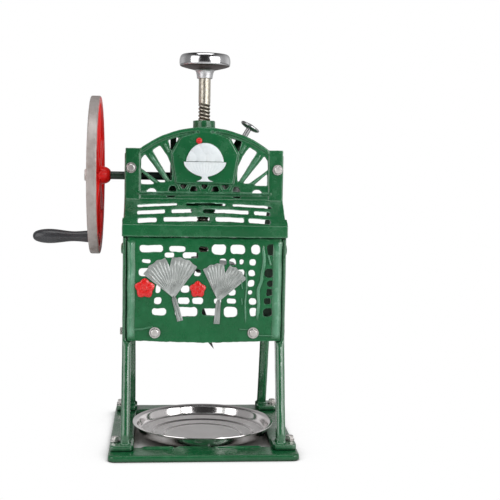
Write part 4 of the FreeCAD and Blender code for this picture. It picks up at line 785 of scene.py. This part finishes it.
def makeSpindle():
    step = feedScrew["pitch"] / feedScrew["perTurn"]
    count = int((feedScrew["high"] - feedScrew["low"]) / step)
    heights = [z for z, _ in feedScrew["plain"]] + [feedScrew["low"] + i * step for i in range(count + 1)]
    heights += [z for z, _ in feedScrew["top"]]
    last = len(heights) - 1
    plain = dict(feedScrew["plain"] + feedScrew["top"])
    deselectAll()
    bpy.ops.mesh.primitive_grid_add(x_subdivisions=feedScrew["around"], y_subdivisions=last, size=2)
    obj = bpy.context.object
    for vertex in obj.data.vertices:
        angle = (vertex.co.x + 1) * math.pi
        z = heights[round((vertex.co.y + 1) / 2 * last)]
        r = plain[z] if z in plain else threadRadius(angle, z)
        vertex.co = (r * mm * math.cos(angle), r * mm * math.sin(angle), z * mm)
    editAll(obj)
    bpy.ops.mesh.remove_doubles(threshold=weldGap)
    bpy.ops.mesh.fill_holes(sides=0)
    mode("OBJECT")
    recalculateNormals(obj)
    cutter = keywayCutter()
    useModifier(obj, "keyway", "BOOLEAN", operation="DIFFERENCE", solver="EXACT", object=cutter)
    bpy.data.objects.remove(cutter)
    finishPiece(obj, "threadedSpindle", "spindle", threadSteel, ["feed_spindle"], "zinc_steel", 40)


makeSpindle()
print("spindle threaded")

# reliefs on the front panel
panelFace = -0.090
plaqueFace = -0.0455
sunk = 0.6  # a relief's back lies this deep in the face, in millimetres
leaves = {
    "leftFanLeaf": {"node": "relief_leaf_left", "centre": (-44, 222), "radius": 60, "turn": 98, "spread": 88,
                    "stem": 34},
    "rightFanLeaf": {"node": "relief_leaf_right", "centre": (20, 217), "radius": 56, "turn": 78, "spread": 76,
                     "stem": 32},
}
leafShape = {"thick": 2.95, "heart": 3.0, "veins": 15, "columns": 150, "rows": 26, "stemHalf": 3.4,
             "stemColumns": 16, "stemRows": 30}


def onFace(face, x, z, lift, front):
    return (mm * x, face - mm * (lift if front else -sunk), mm * z)


def fanBlade(leaf):
    cx, cz = leaf["centre"]
    half = leaf["spread"] / 2
    heart = leafShape["heart"]

    def place(u, v, front):
        angle = (u - 0.5) * 2 * half  # degrees from the middle of the fan
        share = abs(angle) / half
        edge = 0.99 - 0.07 * share ** 3 + 0.012 * math.sin(share * 21)
        notch = 0.26 * max(0.0, 1 - abs(angle) / 5.0)
        r = heart + (leaf["radius"] * (edge - notch) - heart) * v
        a = math.radians(leaf["turn"] + angle)
        vein = abs(math.sin(math.pi * leafShape["veins"] * u))
        fade = min(1.0, v * 3) * min(1.0, (1 - v) * 5) * min(1.0, (1 - share) * 6)
        crown = 0.55 + 0.45 * math.sin(math.pi * min(1.0, v * 1.15) ** 0.8) * (1 - 0.35 * share ** 2)
        ripple = 1 + 0.35 * math.sin(v * 15 + u * 9)
        lift = 0.9 + 1.1 * crown * fade + 1.0 * (1 - vein ** 0.7) * fade * ripple
        lift = min(lift, leafShape["thick"])
        return onFace(panelFace, cx + r * math.cos(a), cz + r * math.sin(a), lift, front)

    return heightField(leafShape["columns"], leafShape["rows"], place)


def leafStem(leaf):
    down = math.radians(leaf["turn"] + 188)
    along = Vector((math.cos(down), math.sin(down)))
    across = Vector((-along.y, along.x))

    def place(u, v, front):
        width = leafShape["stemHalf"] * (1.0 + 0.25 * v) * (1 - 0.5 * max(0.0, 0.12 - v) / 0.12)
        middle = Vector(leaf["centre"]) + along * (leaf["stem"] * v - leafShape["heart"] * (1 - v))
        point = middle + across * ((u - 0.5) * 2 * width)
        twin = abs(math.cos(2 * math.pi * (u - 0.5)))  # two rounded cords side by side
        lift = (1.2 + 1.7 * (1 - twin) ** 0.7) * min(1.0, 0.45 + (1 - v) * 6)
        return onFace(panelFace, point.x, point.y, lift, front)

    return heightField(leafShape["stemColumns"], leafShape["stemRows"], place)


for name, leaf in leaves.items():
    finishRelief(joined([fanBlade(leaf), leafStem(leaf)]), name, silverPaint, [leaf["node"]], "silver_enamel")
print("leaves made")

blossoms = {"centres": [(-86, 236, 15.0), (-10, 235, 12.5)], "thick": 2.8, "petals": 5, "steps": 24}


def makePetal(cx, cz, radius, turn):
    # one petal: a pinched oval that domes up, with a crease along its middle
    reach = radius * 0.98
    a = math.radians(turn)

    def place(u, v, front):
        s = (u - 0.5) * 2
        along = reach * (0.08 + 0.92 * v)
        width = radius * 0.50 * math.sin(math.pi * min(1.0, 0.12 + 0.86 * v) ** 0.9) ** 0.7
        notch = 0.9 * max(0.0, 1 - abs(s) * 3) * max(0.0, v - 0.8) * 5
        x = cx + (along - notch) * math.cos(a) - s * width * math.sin(a)
        z = cz + (along - notch) * math.sin(a) + s * width * math.cos(a)
        dome = math.sqrt(max(0.0, 1 - s * s)) * math.sin(math.pi * min(1.0, 0.15 + 0.8 * v))
        crease = 0.35 * max(0.0, 1 - abs(s) * 4) * math.sin(math.pi * v)
        return onFace(panelFace, x, z, 0.7 + (blossoms["thick"] - 0.8) * dome - crease, front)

    return heightField(18, 14, place)


def makeBlossom(cx, cz, radius):
    turn = 360 / blossoms["petals"]
    parts = [makePetal(cx, cz, radius, 90 + turn * i) for i in range(blossoms["petals"])]
    button = [(0, 0), (radius * 0.26, 0), (radius * 0.26, 2.2), (radius * 0.20, 2.8), (radius * 0.1, 3.0),
              (0, 3.0)]
    parts.append(lathe(rounded(button, 1), (cx * mm, panelFace, cz * mm), (0, -1, 0), blossoms["steps"]))
    return parts


petals = []
for cx, cz, radius in blossoms["centres"]:
    petals += makeBlossom(cx, cz, radius)
finishRelief(joined(petals), "redBlossoms", redEnamel, ["relief_blossoms"], "red_enamel")
print("blossoms made")

raisedLines = [  # points (x, z), width, rise
    ([(59.8, 186), (59.0, 215), (60.6, 240), (59.4, 262)], 3.4, 1.3),
    ([(84.0, 299), (85.6, 276), (82.4, 252), (77.4, 232), (78.4, 214), (76.6, 190)], 6.0, 2.0),
    ([(91.0, 286), (95.4, 270)], 4.0, 1.7),
    ([(52.6, 250), (54.4, 235)], 2.4, 1.2), ([(53.4, 223), (54.4, 213)], 2.4, 1.2),
    ([(76, 168.2), (102, 167.6)], 2.0, 1.3), ([(50, 177.4), (64, 176.8)], 1.8, 1.0),
    ([(-107, 176), (-88, 177), (-74, 181)], 3.0, 0.9),
]
borders = {"rise": 2.4, "low": 163.0, "high": 305.0, "sides": [(-111.0, 11.0, 0.36), (98.0, 13.2, 0.58)]}
headLines = {
    "face": -0.042, "shoulder": 364.0,
    "rays": [((53.2, 24.4), (81.6, 65.6), 6.0, 1.3, 5), ((69.6, 22.2), (92.0, 40.0), 3.8, 1.2, 3),
             ((52.6, 66.5), (60.0, 80.5), 4.6, 1.1, 2)],  # start, end, width, rise, notches
    "teeth": [(-47, 1), (-16, -1), (-16, 1), (16, -1), (16, 1), (47, -1)],  # middle and side
    "toothLow": (10.5, 12.0), "toothHigh": (6.6, 19.8), "toothWidth": 2.2, "toothRise": 0.9,
}


def curveAt(points, share):
    # smooth place along the points, share from 0 to 1
    at = share * (len(points) - 1)
    i = min(len(points) - 2, int(at))
    t = at - i
    t = t * t * (3 - 2 * t) if len(points) > 2 else t
    (x1, z1), (x2, z2) = points[i], points[i + 1]
    return x1 + (x2 - x1) * t, z1 + (z2 - z1) * (at - i)


def makeRaisedLine(points, width, rise, face=panelFace, rows=48, cuts=0):
    (x1, z1), (x2, z2) = points[0], points[-1]
    length = math.hypot(x2 - x1, z2 - z1)
    across = ((z2 - z1) / length, (x1 - x2) / length)

    def place(u, v, front):
        x, z = curveAt(points, v)
        side = (u - 0.5) * width * min(1.0, 0.35 + v * 8, 0.35 + (1 - v) * 8)
        swell = math.sin(math.pi * u) ** 0.7 * min(1.0, v * 12, (1 - v) * 12)
        notch = 0.4 * abs(math.sin(math.pi * cuts * v)) ** 10
        lift = rise * swell * (1 - notch) + 0.1
        return onFace(face, x + across[0] * side, z + across[1] * side, lift, front)

    return heightField(8, rows, place)


def makeBorder(start, width, peak):
    # broad low rim down one side of the panel, highest at peak across its width
    def place(u, v, front):
        x = start + width * u + 0.35 * math.sin(v * 17 + start)
        z = borders["low"] + (borders["high"] - borders["low"]) * v
        slope = u / peak if u < peak else (1 - u) / (1 - peak)
        swell = min(1.0, slope) ** 0.8 * min(1.0, v * 25, (1 - v) * 25) * (1 + 0.12 * math.sin(v * 23))
        return onFace(panelFace, x, z, borders["rise"] * swell + 0.1, front)

    return heightField(12, 60, place)


def headLine(start, end, width, rise, cuts):
    points = [(x, z + headLines["shoulder"]) for x, z in (start, end)]
    return makeRaisedLine(points, width, rise, headLines["face"], 30, cuts)


lines = [makeRaisedLine(*values) for values in raisedLines]
lines += [makeBorder(*values) for values in borders["sides"]]
finishRelief(joined(lines), "panelRaisedLines", highlightedLineGreen, [], "green_enamel")
lines = []
for (x1, z1), (x2, z2), width, rise, cuts in headLines["rays"]:
    lines.append(headLine((x1, z1), (x2, z2), width, rise, cuts))
    lines.append(headLine((-x1, z1), (-x2, z2), width, rise, cuts))
for middle, side in headLines["teeth"]:
    start, end = [(middle + side * x, z) for x, z in (headLines["toothLow"], headLines["toothHigh"])]
    lines.append(headLine(start, end, headLines["toothWidth"], headLines["toothRise"], 0))
finishRelief(joined(lines), "headRaisedLines", highlightedHeadGreen, [], "green_enamel")
print("raised lines made")

# emblem: a footed bowl of shaved ice with a cherry
emblem = {"thick": 2.1, "top": 2.2, "bowlTop": 418.0, "bowlLow": 397.0, "footLow": 389.5, "halfTop": 31.0,
          "stemHalf": 4.6, "flutes": 6.5, "fluteDepth": 0.28, "brim": 0.35}
ice = {
    "low": 418.8, "half": 27.6, "height": 27.0, "edge": 0.4,
    "lumps": [(-19, 425, 8.0), (-6, 426, 9.0), (8, 426, 9.0), (20, 425, 7.5), (-11, 434, 8.0), (3, 436, 9.0),
              (12, 433, 7.5), (-2, 441, 5.5)],  # x, z, radius
}
cherry = {
    "centre": (-0.009, plaqueFace, 0.449), "axis": (0, -1, 0), "steps": 32, "angle": 60,
    "outline": [(0, 0), (4.5, 0), (4.5, 1.4), (3.4, 2.5), (1.4, 2.9), (0.5, 2.5), (0, 2.3)],
}


def bowlHalfWidth(z):
    stem = emblem["stemHalf"]
    if z < emblem["bowlLow"]:
        t = (z - emblem["footLow"]) / (emblem["bowlLow"] - emblem["footLow"])
        return 12.6 - 8.4 * math.sin(math.pi / 2 * min(1.0, t * 1.4)) ** 0.8 + 1.4 * max(0.0, t - 0.7)
    t = (z - emblem["bowlLow"]) / (emblem["bowlTop"] - emblem["bowlLow"])
    return stem + (emblem["halfTop"] - stem) * math.sin(math.pi / 2 * t) ** 0.62


def makeBowl():
    def place(u, v, front):
        s = (u - 0.5) * 2
        z = emblem["footLow"] + (emblem["bowlTop"] - emblem["footLow"]) * v
        fade = min(1.0, max(0.0, (v - 0.3) * 4)) * (1 - max(0.0, v - 0.9) * 10)
        flute = emblem["fluteDepth"] * abs(math.sin(math.pi * emblem["flutes"] * s)) * fade
        brim = emblem["brim"] if v > 0.93 else 0.0
        dome = math.sqrt(max(0.0, 1 - (s * 0.92) ** 2))
        lift = 0.5 + (emblem["thick"] - 0.95) * dome + flute * dome + brim
        return onFace(plaqueFace, s * bowlHalfWidth(z), z, min(lift, emblem["top"]), front)

    return heightField(64, 40, place)


def makeIce():
    def place(u, v, front):
        s = (u - 0.5) * 2
        x = s * ice["half"]
        z = ice["low"] + max(0.4, ice["height"] * (1 - abs(s) ** 2.2) ** 0.62) * v
        lift = 0.5
        for lumpX, lumpZ, lumpRadius in ice["lumps"]:
            away = math.hypot(x - lumpX, z - lumpZ) / lumpRadius
            if away < 1:
                lift = max(lift, 0.6 + 1.6 * math.sqrt(1 - away * away))
        fade = min(1.0, (1 - v) * 7, (1 - abs(s)) * 9)
        return onFace(plaqueFace, x, z, ice["edge"] + (lift - ice["edge"]) * fade, front)

    return heightField(72, 40, place)


finishRelief(makeBowl(), "emblemBowl", whiteEnamel, ["relief_bowl"], "white_enamel")
finishRelief(makeIce(), "emblemIce", whiteEnamel, ["relief_ice"], "white_enamel")
turnPiece("emblemCherry", cherry, rounded(cherry["outline"], 2), "frame", redEnamel, "relief_cherry",
          "red_enamel")
print("emblem made")

# materials of the nodes that stay
nodeMaterials = {
    toolSteel: ["shaving_blade"],
    tinnedIron: ["presser_disc", "presser_spikes", "blade_clamp"],
    blackPaint: ["blade_lever", "gear_collar"],
    axlePaint: ["crank_axle"],
    gearIron: ["bevel_gear", "drive_pinion", "feed_nut", "drive_key", "pinion_pin", "gear_washer",
               "nut_washer", "collar_screw"],
    bronze: ["spindle_bush", "gear_bush", "axle_outer_bush", "axle_inner_bush"],
    zincPlate: ["blade_screws", "lever_screw", "head_bolts", "head_washers", "panel_bolts", "panel_washers",
                "panel_nuts", "foot_bolts", "foot_washers", "bridge_screws", "bed_screws", "wheel_washer",
                "wheel_nut", "crank_pin", "grip_ring", "handwheel_nut", "presser_nut"],
    knobChrome: ["lock_rod"],
}
for material, names in nodeMaterials.items():
    for name in names:
        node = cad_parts[name]
        node.data.materials.clear()
        node.data.materials.append(material)
print("nodes finished")

# floor, light and camera
stage = {"floorHalf": 6.0, "floorAt": -0.0005, "openGlow": 1.0, "shadedGlow": 0.0, "reach": 0.16,
         "ambient": 0.25}
room = {"wall": 0.50, "right": 0.50, "left": 0.30, "front": 0.03}
lamps = {
    "rightSoftbox": {"place": (1.35, -1.30, 0.72), "width": 1.5, "height": 1.7, "power": 19.0},
    "leftSoftbox": {"place": (-1.42, -1.20, 0.85), "width": 1.3, "height": 1.7, "power": 14.0},
    "frontStrip": {"place": (1.00, -1.90, 1.10), "width": 0.5, "height": 0.8, "power": 7.5},
    "topLamp": {"place": (0.0, -0.55, 2.20), "width": 1.6, "height": 0.9, "power": 11.0},
}
lampTarget = Vector((0.0, 0.0, 0.30))
view = {
    "place": (-0.06904, -1.53481, 0.41016), "yaw": 0.0922, "pitch": 0.0808, "roll": 0.0175, "lens": 72.70,
    "sensor": 36.0, "near": 0.05, "far": 60.0,
}


def floorMaterial():
    # white to the camera in the open, with real shade and a painted shadow in its colour where the machine
    # stands over it
    material, tree, shader = newMaterial("paleFloor")
    openness = occlusion(tree, stage["reach"], 12)
    grain = noise(tree, objectPlace(tree), 3.0, 2.0)
    pale = mixColors(tree, remap(tree, grain, 0.3, 0.7), linear(240, 240, 240), linear(248, 248, 248))
    # floor colour darkened where occlusion is high: painted shadow
    color = mixColors(tree, remap(tree, openness, 0.20, 0.62), linear(150, 148, 144), pale)
    feedAll(tree, shader, {"Base Color": color, "Roughness": 0.9, "Specular IOR Level": 0.1})
    glow = addNode(tree, "Emission", Color=(1, 1, 1, 1), Strength=1.0)
    path = addNode(tree, "LightPath")
    share = remap(tree, openness, 0.50, 0.86, stage["shadedGlow"], stage["openGlow"])
    share = multiply(tree, path.outputs["Is Camera Ray"], share)
    both = mixShaders(tree, share, shader.outputs[0], glow.outputs[0])
    feed(tree, both, tree.nodes["Material Output"].inputs["Surface"])
    return material


deselectAll()
bpy.ops.mesh.primitive_plane_add(size=stage["floorHalf"] * 2, location=(0, 0, stage["floorAt"]))
floor = bpy.context.object
floor.name = "paleFloor"
floor.data.materials.append(floorMaterial())

# plain white to the camera; to the object, a white wall behind it and a dim room in front
world = bpy.data.worlds.new("studio")
scene.world = world
world.use_nodes = True
tree = world.node_tree
tree.nodes.clear()
direction = addNode(tree, "TexCoord").outputs["Generated"]
parts = addNode(tree, "SeparateXYZ", Vector=direction).outputs
wall = remap(tree, parts["Y"], 0.15, 0.60, 0.0, room["wall"])
wall = multiply(tree, wall, remap(tree, parts["Z"], 0.20, 0.75, 1.0, 0.25))
right = remap(tree, parts["X"], 0.45, 0.95, 0.0, room["right"])
left = remap(tree, parts["X"], -0.95, -0.55, room["left"], 0.0)
sides = add(tree, calculate(tree, "MAXIMUM", right, left), room["front"])
level = add(tree, wall, sides, True)
color = addNode(tree, "CombineColor", Red=level, Green=level, Blue=level).outputs[0]
shown = addNode(tree, "Background", Color=color, Strength=1.0).outputs[0]
ambient = addNode(tree, "Background", Color=(1, 1, 1, 1), Strength=stage["ambient"]).outputs[0]
white = addNode(tree, "Background", Color=(1, 1, 1, 1), Strength=1.0).outputs[0]
path = addNode(tree, "LightPath").outputs
lit = mixShaders(tree, path["Is Glossy Ray"], ambient, shown)
seen = mixShaders(tree, path["Is Camera Ray"], lit, white)
feed(tree, seen, addNode(tree, "OutputWorld").inputs["Surface"])

for name, values in lamps.items():
    data = bpy.data.lights.new(name, "AREA")
    data.shape = "RECTANGLE"
    data.size = values["width"]
    data.size_y = values["height"]
    data.energy = values["power"]
    lamp = bpy.data.objects.new(name, data)
    scene.collection.objects.link(lamp)
    lamp.location = values["place"]
    lamp.rotation_euler = (lampTarget - lamp.location).to_track_quat("-Z", "Y").to_euler()

yaw, pitch, roll = view["yaw"], view["pitch"], view["roll"]
ahead = Vector((math.sin(yaw) * math.cos(pitch), math.cos(yaw) * math.cos(pitch), -math.sin(pitch)))
right = Vector((math.cos(yaw), -math.sin(yaw), 0.0))
up = right.cross(ahead)
turnedRight = right * math.cos(roll) + up * math.sin(roll)
turnedUp = up * math.cos(roll) - right * math.sin(roll)
data = bpy.data.cameras.new("camera")
data.lens = view["lens"]
data.sensor_width = view["sensor"]
data.clip_start = view["near"]
data.clip_end = view["far"]
camera = bpy.data.objects.new("camera", data)
scene.collection.objects.link(camera)
turn = Matrix((turnedRight, turnedUp, -ahead)).transposed().to_4x4()
camera.matrix_world = Matrix.Translation(Vector(view["place"])) @ turn
scene.camera = camera
scene.view_settings.view_transform = "Standard"
print("stage, light and camera made")
